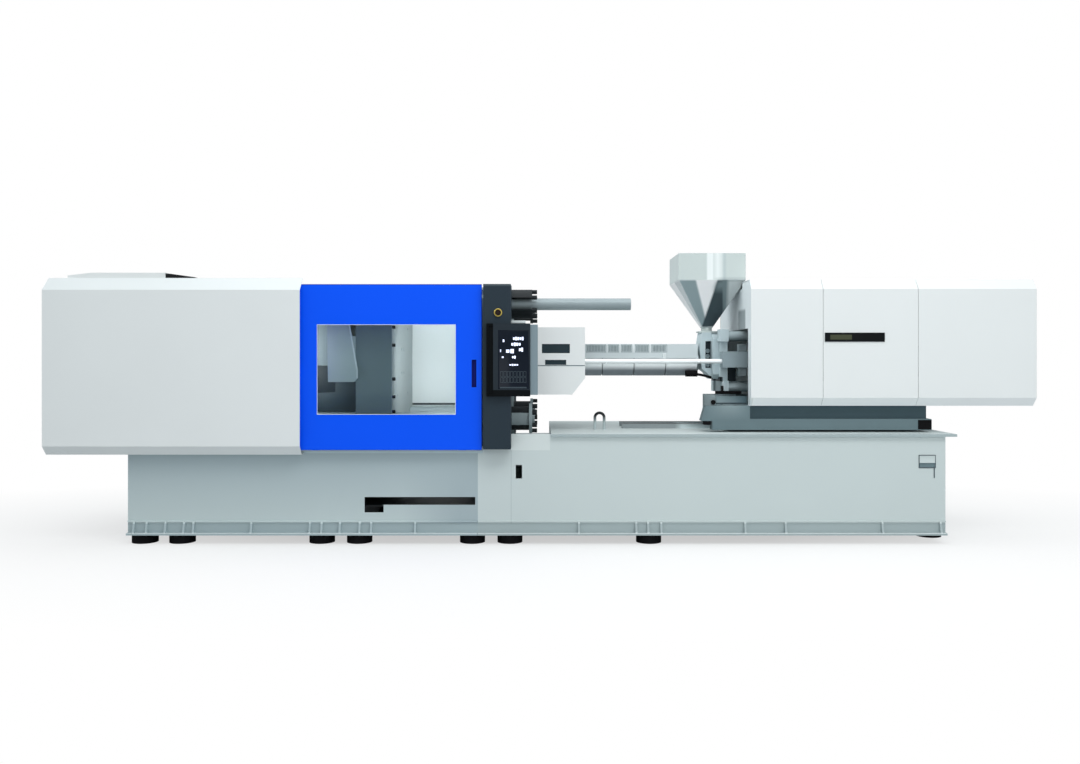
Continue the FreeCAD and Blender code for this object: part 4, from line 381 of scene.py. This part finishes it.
materials = {
    "coverWhite": paint("PowderCoatPaleGrey", "coverWhite", coverZones),
    "guardWhite": paint("PowderCoatPaleSheet", "coverWhite", guardZones),
    "hatchWhite": paint("PowderCoatPaleLid", "coverWhite", hatchZones),
    "gateBlue": paint("PowderCoatBlue", "gateBlue", gateZones, (0.36, 0.46), coat=0.0, gloss=0.14),
    # one guard sheet steel in four greys, the two darkest of them painted shade
    "shroud": paint("GuardSheetGrey", "shroud", **dull),
    "shroudPale": paint("GuardSheetPale", "shroudPale", **dull),
    "shroudShade": paint("GuardSheetShade", "shroudShade", **dull),
    "recess": paint("GuardSheetDeepShade", "recess", **dull),
    "gateLiner": paint("PrimerPaleGrey", "gateLiner", linerZones, (0.5, 0.6), coat=0.0),
    "baseGrey": paint("EnamelLightGrey", "baseGrey", baseZones, (0.42, 0.52), coat=0.04, peel=0.12),
    # the base enamel, carrying painted shade under the clamp cover
    "clampBase": paint("EnamelShadedGrey", "clampBaseShadedGrey", clampBaseZones, (0.42, 0.52), coat=0.04,
                       peel=0.12),
    "columnDark": paint("PowderCoatCharcoal", "columnDark", columnZones, gloss=0.15, **dull),
    "panelSlate": paint("PowderCoatSlate", "panelSlate", panelZones, (0.5, 0.6), coat=0.0, gloss=0.1),
    "panelBlack": plastic("TexturedBlackPlastic", "panelBlack"),
    "screenGlass": plastic("DisplayGlass", "screenGlass", (0.1, 0.16), grain=0.02),
    "screenMark": glowing("DisplayMark", "screenMark", 0.9),
    "keyLine": plastic("KeypadPrintGrey", "keyLine", (0.3, 0.4), grain=0.05),
    "window": clearSheet("Polycarbonate", "window"),
    "pane": plastic("TintedPolycarbonate", "pane", (0.15, 0.22), grain=0.02),
    "platenGrey": castPaint("CastEnamelGrey", "platenGrey"),
    "movingGrey": castPaint("CastEnamelPlaten", "platenGrey", platenZones),
    "linkGrey": castPaint("CastIronPainted", "linkGrey"),
    "pinSteel": metal("GroundSteel", "pinSteel", (0.25, 0.4)),
    "railSteel": metal("GroundRailSteel", "railGrey", (0.3, 0.42), alongX, grain=0.1, zones=railZones),
    "barGrey": metal("TurnedBarSteel", "barGrey", (0.42, 0.52), alongX, grain=0.06, metallic=0.3),
    "tieRod": metal("GroundRodSteel", "tieRod", (0.35, 0.45), alongX, grain=0.06, drift=0.02, metallic=0.3),
    "rodBright": metal("HardChrome", "rodBright", (0.2, 0.28), alongX, grain=0.05, drift=0.02,
                       metallic=0.35),
    "nutBlack": metal("BlackOxideSteel", "nutBlack", (0.4, 0.55), metallic=0.5),
    "tieNut": castPaint("NutEnamel", "nutBlack", nutZones),
    "eyeBlack": castPaint("LiftingEyeEnamel", "nutBlack", eyeZones),
    "feedGrey": castPaint("CastEnamelSlate", "feedGrey", housingZones, (0.42, 0.55)),
    "driveGrey": castPaint("CastEnamelMidGrey", "driveGrey"),
    "carriageGrey": castPaint("CastEnamelDarkSlate", "carriageGrey", carriageZones),
    "jacket": paint("HeaterJacketSheet", "jacket", jacketZones, (0.4, 0.5), coat=0.0),
    "barrelCover": paint("ShieldSheetGrey", "barrelCover", rough=(0.4, 0.5), coat=0.0),
    "louvre": metal("LouvreSteel", "louvre", (0.35, 0.45), (1, 1, 0.1), grain=0.1, metallic=0.5),
    "strap": paint("StrapPale", "strap", rough=(0.35, 0.45), coat=0.1),
    "armGrey": castPaint("CastEnamelPale", "armBox"),
    "armPad": castPaint("CastEnamelPad", "armPad", armPadZones),
    "hopper": metal("BrushedStainless", "hopper", (0.3, 0.38), (1, 1, 0.06), grain=0.15, zones=hopperZones,
                    drift=0.015, metallic=0.3),
    "rubber": plastic("BlackRubber", "rubber", (0.7, 0.85), grain=0.5),
    "buttonDark": plastic("GlossBrown", "buttonDark", (0.2, 0.3), grain=0.05),
    "collarGold": metal("BrassPlate", "collarGold", (0.25, 0.35), grain=0.1, metallic=0.35),
    "motorDark": paint("EnamelBlack", "motorDark", rough=(0.4, 0.55), coat=0.0),
    "lcdOlive": glowing("DisplayOlive", "lcdOlive", 0.03),
}
slotLooks = {
    "cover_white": "coverWhite", "gate_blue": "gateBlue", "base_grey": "baseGrey",
    "column_dark": "columnDark", "panel_black": "panelBlack", "screen_glass": "screenGlass",
    "window_clear": "window",
    "platen_grey": "platenGrey", "link_grey": "linkGrey", "pin_steel": "pinSteel", "bar_chrome": "barGrey",
    "nut_black": "nutBlack", "feed_grey": "feedGrey", "jacket_white": "jacket", "hopper_steel": "hopper",
    "pad_black": "rubber", "button_dark": "buttonDark", "motor_dark": "motorDark",
}
nodeLooks = {
    "carriage_base": "carriageGrey", "rear_gate": "gateLiner", "purge_guard": "guardWhite",
    "roof_hatch": "hatchWhite", "control_panel_housing": "panelSlate", "platen_tie_nuts": "tieNut",
    "lifting_eye": "eyeBlack", "nozzle_touch_rods": "rodBright", "injection_tie_rods": "tieRod",
    "nozzle_touch_drives": "driveGrey", "barrel_cover": "barrelCover", "slide_rails": "railSteel",
    "clamp_ball_screw": "rodBright", "moving_platen": "movingGrey",
    "clamp_base": "clampBase", "clamp_base_front_wall": "clampBase",
}
for row in frame["record"]["subparts"]:
    look = nodeLooks.get(row["node"], slotLooks.get(row["material_slot"]))
    for place in nodes[row["node"]].material_slots:
        place.material = materials[look]
print("materials ready")


def alone(piece):
    bpy.ops.object.select_all(action="DESELECT")
    piece.select_set(True)
    bpy.context.view_layer.objects.active = piece


def settle(piece):
    alone(piece)
    bpy.ops.object.transform_apply(location=True, rotation=True, scale=True)
    return piece


def block(low, high):
    bpy.ops.object.select_all(action="DESELECT")
    middle = [(a + b) / 2 for a, b in zip(low, high)]
    bpy.ops.mesh.primitive_cube_add(size=1, location=middle)
    piece = bpy.context.object
    piece.scale = [b - a for a, b in zip(low, high)]
    return settle(piece)


# rotations that lay an upright shape along an axis
turns = {"x": (0, math.pi / 2, 0), "y": (math.pi / 2, 0, 0), "z": (0, 0, 0)}
# degrees past which an edge counts as sharp: in shading, on the pieces and on the frame's parts
sharp = {"shade": 35, "piece": 30, "frame": 40}
facing = 0.9  # a face looks along an axis when its normal's share of that axis is above this


def turnedRod(centre, axis, radius, length, sides=32):
    bpy.ops.object.select_all(action="DESELECT")
    bpy.ops.mesh.primitive_cylinder_add(vertices=sides, radius=radius, depth=length, location=centre,
                                        rotation=turns[axis])
    return settle(bpy.context.object)


def smooth(piece):
    alone(piece)
    bpy.ops.object.shade_smooth_by_angle(angle=math.radians(sharp["shade"]))
    return piece


def addBevel(piece, width, segments, angle):
    bevel = piece.modifiers.new("ease", "BEVEL")
    bevel.width = width
    bevel.segments = segments
    bevel.limit_method = "ANGLE"
    bevel.angle_limit = math.radians(angle)
    return bevel


def eased(piece, width, segments=2):
    # softened edges, then smooth shading across them
    alone(piece)
    bevel = addBevel(piece, width, segments, sharp["piece"])
    bpy.ops.object.modifier_apply(modifier=bevel.name)
    return smooth(piece)


def choose(piece, test):
    # edit mode with only the faces chosen that pass the test on their middle and normal
    alone(piece)
    bpy.ops.object.mode_set(mode="EDIT")
    bpy.ops.mesh.select_mode(type="FACE")
    bpy.ops.mesh.select_all(action="DESELECT")
    shape = bmesh.from_edit_mesh(piece.data)
    for face in shape.faces:
        face.select_set(bool(test(face.calc_center_median(), face.normal)))
    bmesh.update_edit_mesh(piece.data)


def done():
    bpy.ops.object.mode_set(mode="OBJECT")


def dished(piece, test, rim, depth, slope=None):
    # a face inset by rim and pushed in by depth, over walls that lean in by slope
    choose(piece, test)
    bpy.ops.mesh.inset(thickness=rim, depth=0)
    bpy.ops.mesh.inset(thickness=slope or depth / 4, depth=-depth)
    done()
    return piece


def framed(low, high, rim):
    # a flat ring, open from front to back
    piece = block(low, high)
    choose(piece, lambda middle, normal: abs(normal.y) > facing)
    bpy.ops.mesh.inset(thickness=rim, depth=0)
    bpy.ops.mesh.bridge_edge_loops()
    done()
    return piece


def joined(pieces):
    bpy.ops.object.select_all(action="DESELECT")
    for piece in pieces:
        piece.select_set(True)
    bpy.context.view_layer.objects.active = pieces[0]
    bpy.ops.object.join()
    return bpy.context.object


def spread(piece, shifts, turn=None):
    # copies of one modelled piece at these shifts, as one mesh
    made = []
    for shift in shifts:
        twin = piece.copy()
        twin.data = piece.data.copy()
        scene.collection.objects.link(twin)
        twin.data.transform(Matrix.Translation(Vector(shift)) @ (turn or Matrix.Identity(4)))
        made.append(twin)
    bpy.data.objects.remove(piece)
    return joined(made)


def keep(piece, name, body, look):
    piece.name = name
    piece.data.name = name
    piece.data.materials.clear()
    piece.data.materials.append(materials[look])
    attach(piece, body)
    return piece


def front(middle, normal):
    return normal.y < -facing


def slab(low, high, ease, dish=None, segments=2):
    # a block between two corners with eased edges, its front face dished by (rim, depth)
    piece = block(low, high)
    if dish:
        dished(piece, front, *dish)
    return eased(piece, ease, segments)


sunk = 0.0005  # how far what lies on a face reaches into it


def proud(face, left, right, low, high, out):
    # the corners of what stands out of a face that looks towards -Y
    return (left, face - out, low), (right, face + sunk, high)


screwShape = {"sides": 24, "rim": 0.45, "slope": 0.02, "deep": 0.4, "ease": 0.1}


def capScrew(radius, high):
    # a socket head cap screw at the origin, head towards -Y; the rest are shares of its two sizes
    head = turnedRod((0, -high / 2, 0), "y", radius, high, screwShape["sides"])
    dished(head, front, radius * screwShape["rim"], high * screwShape["deep"],
           radius * screwShape["slope"])
    return eased(head, radius * screwShape["ease"], 1)


# edges of the CAD parts are eased as sheet bends and castings are
easedNodes = {
    0.012: ("levelling_feet",),
    0.008: ("roof_hatch", "fixed_platen", "moving_platen", "tail_platen"),
    0.006: ("column_covers", "carriage_base", "upper_tail_link", "lower_tail_link",
            "upper_platen_link", "lower_platen_link", "injection_servo_motor", "plasticising_motor"),
    0.005: ("crosshead", "pusher_frame", "injection_cover", "nozzle_touch_drives"),
    0.004: ("front_gate", "rear_gate", "control_panel_housing", "feed_housing", "clamp_servo_motor"),
    0.003: ("injection_base", "platen_tie_nuts", "heater_jackets", "tie_bars", "stop_button", "slide_rails"),
    0.0015: ("purge_guard", "hopper", "barrel_cover", "screw_barrel", "injection_display",
             "clamp_cover_sides"),
}
for width, names in easedNodes.items():
    for name in names:
        addBevel(nodes[name], width, 2, sharp["frame"]).use_clamp_overlap = True
print("frame eased")

panel = {
    "front": -0.880, "left": -0.375, "right": -0.140, "low": 1.201, "high": 1.648,
    "glassEdge": 0.001, "glassNear": 0.0004, "glassFar": 0.0014, "glassDish": (0.008, 0.0004),
    "glassEase": 0.0002, "printNear": 0.0001, "printFar": 0.0009,
}
# the print lies in a thin layer behind the panel's front
printNear = panel["front"] + panel["printNear"]
printFar = panel["front"] + panel["printFar"]


def displayGlass():
    face, edge = panel["front"], panel["glassEdge"]
    low = (panel["left"] + edge, face + panel["glassNear"], panel["low"] + edge)
    high = (panel["right"] - edge, face + panel["glassFar"], panel["high"] - edge)
    glass = slab(low, high, panel["glassEase"], panel["glassDish"])
    keep(glass, "displayGlass", "machine", "screenGlass")


# each readout is a row of blocks: left end, lower edge, width, height and how many blocks
menu = {
    "rows": [(-0.2615, 1.570, 0.083, 0.026, 5), (-0.274, 1.527, 0.074, 0.026, 4),
             (-0.314, 1.472, 0.066, 0.032, 2), (-0.216, 1.484, 0.034, 0.030, 2),
             (-0.269, 1.431, 0.031, 0.022, 2), (-0.339, 1.553, 0.015, 0.027, 1),
             (-0.359, 1.478, 0.009, 0.026, 1), (-0.346, 1.434, 0.017, 0.017, 1),
             (-0.289, 1.377, 0.070, 0.014, 4)],
    "filled": 0.78, "shortest": 0.72, "taller": 0.28, "ease": 0.12,
}


def displayMarks():
    marks = []
    for x, z, wide, high, count in menu["rows"]:
        step = wide / count
        for number in range(count):
            # neighbours differ in height, as the blurred readouts of a menu do
            rise = high * (menu["shortest"] + menu["taller"] * ((number * 2) % 3) / 2)
            mark = block((x + number * step, printNear, z + (high - rise) / 2),
                         (x + (number + menu["filled"]) * step, printFar, z + (high + rise) / 2))
            marks.append(eased(mark, min(step, high) * menu["ease"], 1))
    keep(joined(marks), "displayMarks", "machine", "screenMark")


keypad = {
    "inLeft": 0.016, "inRight": 0.019, "low": 1.247, "high": 1.338, "rows": 2, "columns": 8,
    "line": 0.0025, "stripLow": 1.206, "stripHigh": 1.217, "stripDish": (0.002, 0.0004),
    "stripEase": 0.0003,
}


def keypadPrint():
    columns, rows, line = keypad["columns"], keypad["rows"], keypad["line"]
    left, right = panel["left"] + keypad["inLeft"], panel["right"] - keypad["inRight"]
    low, high = keypad["low"], keypad["high"]
    wide, tall = (right - left) / columns, (high - low) / rows
    keys = [framed((left + column * wide + line, printNear, low + row * tall + line),
                   (left + (column + 1) * wide - line, printFar, low + (row + 1) * tall - line), line)
            for column in range(columns) for row in range(rows)]
    keep(smooth(joined(keys)), "keyFrames", "machine", "keyLine")
    strip = slab((left, printNear, keypad["stripLow"]), (right, printFar, keypad["stripHigh"]),
                 keypad["stripEase"], keypad["stripDish"], 1)
    keep(strip, "keypadStrip", "machine", "keyLine")


collar = {"centre": (-0.376, -0.8500, 1.782), "radius": 0.0265, "wire": 0.0048, "around": 48, "across": 12}


def stopCollar():
    bpy.ops.object.select_all(action="DESELECT")
    bpy.ops.mesh.primitive_torus_add(major_radius=collar["radius"], minor_radius=collar["wire"],
                                     major_segments=collar["around"], minor_segments=collar["across"],
                                     location=collar["centre"], rotation=turns["y"])
    ring = smooth(settle(bpy.context.object))
    keep(ring, "stopCollarRing", "machine", "collarGold")


arm = {"low": (-0.2795, -0.735, 1.704), "high": (-0.168, -0.700, 1.726), "ease": 0.004}


def panelArm():
    keep(slab(**arm), "panelArm", "machine", "strap")


displayGlass()
displayMarks()
keypadPrint()
stopCollar()
panelArm()
print("operator controls ready")

bead = {"low": (-1.767, -0.7935, 1.002), "high": (-0.703, -0.7895, 1.693), "line": 0.004, "ease": 0.001}


def windowBead():
    ring = framed(bead["low"], bead["high"], bead["line"])
    keep(eased(ring, bead["ease"], 1), "windowBead", "front_gate", "strap")


# each slit's left, right, low and high edge
panes = {
    "slits": ((-0.042, 0.183, 1.475, 1.549), (-0.016, 0.154, 1.381, 1.421)),
    "lap": 0.010, "front": -0.4455, "back": -0.4425, "dish": (0.006, 0.0008), "ease": 0.0005,
}


def guardPanes():
    # tinted panes behind the two viewing slits on the guard's front side
    lap = panes["lap"]
    made = [slab((left - lap, panes["front"], low - lap), (right + lap, panes["back"], high + lap),
                 panes["ease"], panes["dish"], 1) for left, right, low, high in panes["slits"]]
    keep(joined(made), "guardPanes", "purge_guard", "pane")


hoodLap = {"low": (-0.0745, -0.4525, 1.3735), "high": (0.3045, -0.4495, 1.3775), "ease": 0.0008}


def guardLap():
    # the lap where the hood's upper sheet ends over its lower one, its dark grey painted shade under the lap
    keep(slab(**hoodLap, segments=1), "guardLap", "purge_guard", "keyLine")


cover = {
    "face": -0.1500, "low": 1.4840, "high": 1.5480,
    "panels": [(0.328, 0.496), (0.512, 0.604), (0.621, 0.713), (0.738, 0.855), (0.872, 1.006)],
    "pitch": 0.0125, "margin": 0.012, "rodRadius": 0.0044, "rodShort": 0.014, "rodSides": 12,
    "rodEase": 0.0015, "frameOut": 0.0022, "frameLine": 0.004, "frameEase": 0.0006,
    "strapGap": 0.001, "strapOut": 0.0035, "strapOver": 0.004, "strapEase": 0.0012,
}


def coverLouvres():
    # upright rods between the cover's slots, and a frame round each panel of them
    face, low, high, pitch = cover["face"], cover["low"], cover["high"], cover["pitch"]
    rod = turnedRod((0, 0, (low + high) / 2), "z", cover["rodRadius"], high - low - cover["rodShort"],
                    cover["rodSides"])
    eased(rod, cover["rodEase"], 1)
    shifts = []
    frames = []
    for left, right in cover["panels"]:
        count = int((right - left - cover["margin"]) / pitch)
        start = (left + right) / 2 - (count - 1) * pitch / 2
        shifts += [(start + number * pitch, face, 0) for number in range(count)]
        frames.append(framed(*proud(face, left, right, low, high, cover["frameOut"]), cover["frameLine"]))
    keep(spread(rod, shifts), "coverLouvres", "carriage", "louvre")
    keep(eased(joined(frames), cover["frameEase"], 1), "louvreFrames", "carriage", "louvre")


def coverStraps():
    gap, past = cover["strapGap"], cover["strapOver"]
    straps = []
    for (_, left), (right, _) in zip(cover["panels"], cover["panels"][1:]):
        corners = proud(cover["face"], left + gap, right - gap, cover["low"] - past, cover["high"] + past,
                        cover["strapOut"])
        straps.append(slab(*corners, cover["strapEase"]))
    keep(joined(straps), "coverStraps", "carriage", "strap")


tab = {"place": (0.968, 0.995, 1.430, 1.478, 0.012), "ease": 0.0012, "dish": (0.006, 0.002)}


def coverTab():
    corners = proud(cover["face"], *tab["place"])
    keep(slab(*corners, tab["ease"], tab["dish"]), "coverTab", "carriage", "strap")


recess = {"radius": 0.017, "high": 0.018, "x": 1.359, "face": -0.0605, "heights": (1.3775, 1.4520, 1.4960)}


def recessScrews():
    screw = capScrew(recess["radius"], recess["high"])
    places = [(recess["x"], recess["face"], z) for z in recess["heights"]]
    keep(spread(screw, places), "recessScrews", "carriage", "driveGrey")


plug = {
    "centre": (1.214, -0.118, 1.307), "radius": 0.027, "length": 0.100, "rim": 0.006, "deep": 0.010,
    "slope": 0.0015, "ease": 0.003,
}
# the lead from the plug to the feed housing, through listed points
lead = {
    "route": ((1.258, -0.112, 1.300), (1.318, -0.112, 1.290), (1.395, -0.112, 1.268)),
    "radius": 0.011, "around": 5, "along": 10,
}


def heaterPlug():
    body = turnedRod(plug["centre"], "x", plug["radius"], plug["length"])
    dished(body, lambda middle, normal: abs(normal.x) > facing, plug["rim"], plug["deep"], plug["slope"])
    keep(eased(body, plug["ease"]), "heaterPlug", "carriage", "rubber")


def heaterCable():
    bpy.ops.object.select_all(action="DESELECT")
    bpy.ops.curve.primitive_bezier_curve_add(location=(0, 0, 0))
    cable = bpy.context.object
    line = cable.data.splines[0]
    line.bezier_points.add(len(lead["route"]) - len(line.bezier_points))
    for point, place in zip(line.bezier_points, lead["route"]):
        point.co = place
        point.handle_left_type = point.handle_right_type = "AUTO"
    cable.data.bevel_depth = lead["radius"]
    cable.data.bevel_resolution = lead["around"]
    cable.data.use_fill_caps = True
    cable.data.resolution_u = lead["along"]
    alone(cable)
    bpy.ops.object.convert(target="MESH")
    keep(smooth(bpy.context.object), "heaterCable", "carriage", "rubber")


# painted shadow: a black strip standing for the shadow between the feed housing and the carriage arm
shadowBand = {"low": (1.380, -0.300, 1.1405), "high": (1.5955, -0.2875, 1.1660), "ease": 0.003}
junction = {"low": (1.446, -0.262, 1.150), "high": (1.502, -0.190, 1.206), "ease": 0.003,
            "dish": (0.006, 0.002)}


# the painted shadow strip, and the junction box beside it
def shadowStrip():
    keep(slab(**shadowBand), "shadowStrip", "carriage", "rubber")
    keep(slab(**junction), "cableJunction", "carriage", "rubber")


switch = {
    "left": 1.559, "right": 1.626, "front": -0.360, "back": -0.290,
    "heights": ((1.4890, 1.5480), (1.2900, 1.3590)), "dish": (0.010, 0.004), "ease": 0.003,
}


def limitSwitches():
    # switch housings above and below the touch drive on the operator's side
    cases = [slab((switch["left"], switch["front"], low), (switch["right"], switch["back"], high),
                  switch["ease"], switch["dish"]) for low, high in switch["heights"]]
    keep(joined(cases), "limitSwitches", "carriage", "armGrey")


windowBead()
guardPanes()
guardLap()
coverLouvres()
coverStraps()
coverTab()
recessScrews()
heaterPlug()
heaterCable()
shadowStrip()
limitSwitches()
print("nozzle side ready")

bumper = {"low": (1.245, -0.538, 0.9045), "high": (1.301, -0.470, 0.9358), "ease": 0.004}
stop = {"centre": (1.3190, -0.512, 1.0850), "radius": 0.0185, "length": 0.062, "dish": (0.006, 0.004),
        "ease": 0.002}
pad = {"low": (1.3405, -0.5455, 1.0715), "high": (1.5785, -0.5300, 1.1335), "ease": 0.002,
       "dish": (0.004, 0.003)}
wiper = {"low": (2.944, -0.5470, 0.8700), "high": (3.0500, -0.5045, 0.9440), "ease": 0.006,
         "dish": (0.012, 0.003)}


def carriageDetails():
    keep(slab(**bumper), "armBumper", "carriage", "rubber")
    knob = dished(turnedRod(stop["centre"], "y", stop["radius"], stop["length"]), front, *stop["dish"])
    keep(eased(knob, stop["ease"]), "armStop", "carriage", "rubber")
    keep(slab(**pad), "armPad", "carriage", "armPad")
    keep(slab(**wiper), "railWiper", "carriage", "rubber")


# each place is a piece's left, right, low and high edge, and how far it stands out of the face
latch = {
    "face": -0.7200,
    "frame": {"place": (2.874, 3.006, 0.584, 0.686, 0.0040), "line": 0.005, "ease": 0.0010},
    "flap": {"place": (2.880, 3.000, 0.624, 0.680, 0.0060), "ease": 0.0015, "dish": (0.006, 0.0016)},
    "cup": {"place": (2.880, 3.000, 0.590, 0.6225, 0.0025), "ease": 0.0008, "dish": (0.003, 0.0018)},
    "stay": {"place": (2.991, 2.998, 0.508, 0.5838, 0.0035), "ease": 0.0010},
}


def baseLatch():
    ring = latch["frame"]
    made = framed(*proud(latch["face"], *ring["place"]), ring["line"])
    keep(eased(made, ring["ease"], 1), "latchFrame", "machine", "keyLine")
    # the cup is in the carriage's darker grey, painted shade inside the latch's recess
    for part, look in (("flap", "baseGrey"), ("cup", "carriageGrey"), ("stay", "keyLine")):
        sizes = latch[part]
        made = slab(*proud(latch["face"], *sizes["place"]), sizes["ease"], sizes.get("dish"))
        keep(made, "latch" + part.capitalize(), "machine", look)


displayPane = {"low": (2.221, -0.6252, 1.581), "high": (2.390, -0.6238, 1.619), "ease": 0.0004,
               "dish": (0.003, 0.0004)}


def displayWindow():
    pane = slab(**displayPane, segments=1)
    keep(pane, "displayWindow", "carriage", "lcdOlive")


edgeScrews = {"radius": 0.0130, "high": 0.024, "face": -1.225, "y": -0.566,
              "heights": (1.680, 1.538, 1.270, 1.129, 1.012)}


def platenScrews():
    # one upright row of black cap screws on the moving platen's face, near the operator's side
    screw = capScrew(edgeScrews["radius"], edgeScrews["high"])
    towardsMould = Matrix.Rotation(math.pi / 2, 4, "Z")
    places = [(edgeScrews["face"], edgeScrews["y"], z) for z in edgeScrews["heights"]]
    keep(spread(screw, places, towardsMould), "platenScrews", "moving_platen", "nutBlack")


# flat sheets drawn from the front: each corner is (x, z), front is the sheet's y
shroudEase = 0.0015
shrouds = (
    {"name": "platenShroud", "look": "shroud", "front": -0.600, "thick": 0.005,
     "corners": ((-1.736, 1.700), (-1.726, 1.247), (-1.521, 1.247), (-1.490, 1.279), (-1.490, 1.340),
                 (-1.553, 1.700))},
    # a real folded edge, its pale grey a painted highlight along it
    {"name": "shroudFlange", "look": "strap", "front": -0.6035, "thick": 0.003,
     "corners": ((-1.564, 1.700), (-1.553, 1.700), (-1.490, 1.340), (-1.490, 1.279), (-1.502, 1.275),
                 (-1.502, 1.338))},
    {"name": "toggleShroud", "look": "shroudPale", "front": -0.372, "thick": 0.008,
     "corners": ((-1.900, 1.375), (-1.780, 1.375), (-1.780, 1.735), (-1.900, 1.735))},
    # the lower and middle sheets are dark greys, painted shade behind the platen
    {"name": "lowerShroud", "look": "shroudShade", "front": -0.3900, "thick": 0.026,
     "corners": ((-1.900, 1.003), (-1.545, 1.003), (-1.545, 1.246), (-1.715, 1.246), (-1.715, 1.160),
                 (-1.900, 1.150))},
    {"name": "middleShroud", "look": "recess", "front": -0.376, "thick": 0.012,
     "corners": ((-1.900, 1.140), (-1.700, 1.150), (-1.700, 1.246), (-1.722, 1.246), (-1.722, 1.375),
                 (-1.900, 1.375))},
)


def platenShrouds():
    # sheet guards on the moving platen's back, seen through the gate window; the darker sheets carry painted
    # shade
    for row in shrouds:
        corners = row["corners"]
        sheet = bpy.data.meshes.new(row["name"])
        sheet.from_pydata([(x, row["front"], z) for x, z in corners], [], [tuple(range(len(corners)))])
        piece = bpy.data.objects.new(row["name"], sheet)
        scene.collection.objects.link(piece)
        alone(piece)
        bpy.ops.object.mode_set(mode="EDIT")
        bpy.ops.mesh.select_all(action="SELECT")
        bpy.ops.mesh.extrude_region_move(TRANSFORM_OT_translate={"value": (0, row["thick"], 0)})
        bpy.ops.mesh.select_all(action="SELECT")
        bpy.ops.mesh.normals_make_consistent(inside=False)
        done()
        keep(eased(piece, shroudEase), row["name"], "moving_platen", row["look"])


carriageDetails()
baseLatch()
displayWindow()
platenScrews()
platenShrouds()
print("bases and carriage ready")

floorLook = {
    "size": 60, "place": (0, 0, -0.0005), "drift": (0.004, 0.6), "rough": (0.55, 0.65),
    "squeeze": (0.42, 1.0, 0.0), "fadeFrom": 0.9, "fadeTo": 3.2, "fadeLeast": 0.55,
    "bounce": (0.56, 0.58, 0.59, 1),
}


def floorAndBackdrop():
    bpy.ops.object.select_all(action="DESELECT")
    bpy.ops.mesh.primitive_plane_add(size=floorLook["size"], location=floorLook["place"])
    floor = bpy.context.object
    floor.name = "floor"
    made, tree, shader, coords = newMaterial("StudioFloor")
    colour, rough = varied(tree, coords, linear(colours["floor"]), *floorLook["drift"], *floorLook["rough"])
    tree.links.new(colour, shader.inputs["Base Color"])
    tree.links.new(rough, shader.inputs["Roughness"])
    # away from the machine the floor fades into the plain pale backdrop
    squeezed = {0: coords, 1: floorLook["squeeze"]}
    flat = addNode(tree, "ShaderNodeVectorMath", squeezed, operation="MULTIPLY")
    away = addNode(tree, "ShaderNodeVectorMath", {0: flat.outputs[0]}, operation="LENGTH")
    far = addNode(tree, "ShaderNodeMapRange", {
        "Value": away.outputs["Value"], "From Min": floorLook["fadeFrom"],
        "From Max": floorLook["fadeTo"], "To Min": floorLook["fadeLeast"]})
    plain = addNode(tree, "ShaderNodeEmission", {"Color": white, "Strength": 1.0})
    mix = addNode(tree, "ShaderNodeMixShader", {
        0: far.outputs[0], 1: shader.outputs[0], 2: plain.outputs[0]})
    # light that bounces off the floor is that of a duller floor, so that undersides keep their shade
    bounce = addNode(tree, "ShaderNodeBsdfDiffuse", {"Color": floorLook["bounce"]})
    rays = addNode(tree, "ShaderNodeLightPath")
    seen = addNode(tree, "ShaderNodeMixShader", {
        0: rays.outputs["Is Camera Ray"], 1: bounce.outputs[0], 2: mix.outputs[0]})
    tree.links.new(seen.outputs[0], surfaceOf(tree))
    floor.data.materials.append(made)


backdrop = {"light": "e6eef2", "strength": 0.68}


def softBackground():
    world = bpy.data.worlds.new("studio")
    scene.world = world
    world.use_nodes = True
    tree = world.node_tree
    tree.nodes.clear()
    rays = addNode(tree, "ShaderNodeLightPath")
    # the machine is lit by a soft grey sky, while the camera sees plain white
    soft = addNode(tree, "ShaderNodeBackground", {
        "Color": linear(backdrop["light"]), "Strength": backdrop["strength"]})
    plain = addNode(tree, "ShaderNodeBackground", {"Color": white, "Strength": 1.0})
    direct = {0: rays.outputs["Is Camera Ray"], 1: rays.outputs["Is Transmission Ray"]}
    seen = addNode(tree, "ShaderNodeMath", direct, operation="MAXIMUM")
    mix = addNode(tree, "ShaderNodeMixShader", {
        0: seen.outputs[0], 1: soft.outputs[0], 2: plain.outputs[0]})
    addNode(tree, "ShaderNodeOutputWorld", {"Surface": mix.outputs[0]})


def lightsAndCamera():
    for lamp in lamps:
        light = bpy.data.lights.new(lamp["name"], "AREA")
        light.shape = "RECTANGLE"
        light.size, light.size_y = lamp["size"]
        light.energy = lamp["power"]
        light.color = lamp.get("colour", lampColour)
        light.spread = math.radians(lamp.get("spread", 180))
        holder = bpy.data.objects.new(lamp["name"], light)
        holder.location = lamp["place"]
        holder.visible_camera = False
        aim = Vector(lamp["aim"]) - Vector(lamp["place"])
        holder.rotation_euler = aim.to_track_quat("-Z", "Y").to_euler()
        scene.collection.objects.link(holder)
    view = bpy.data.cameras.new("camera")
    view.lens = camera["lens"]
    view.shift_x = camera["shiftX"]
    view.shift_y = camera["shiftY"]
    view.clip_end = camera["reach"]
    eye = bpy.data.objects.new("camera", view)
    eye.location = camera["place"]
    eye.rotation_euler = (math.pi / 2, 0, 0)
    scene.collection.objects.link(eye)
    scene.camera = eye
    scene.view_settings.view_transform = "Standard"


floorAndBackdrop()
softBackground()
lightsAndCamera()
print("stage ready")
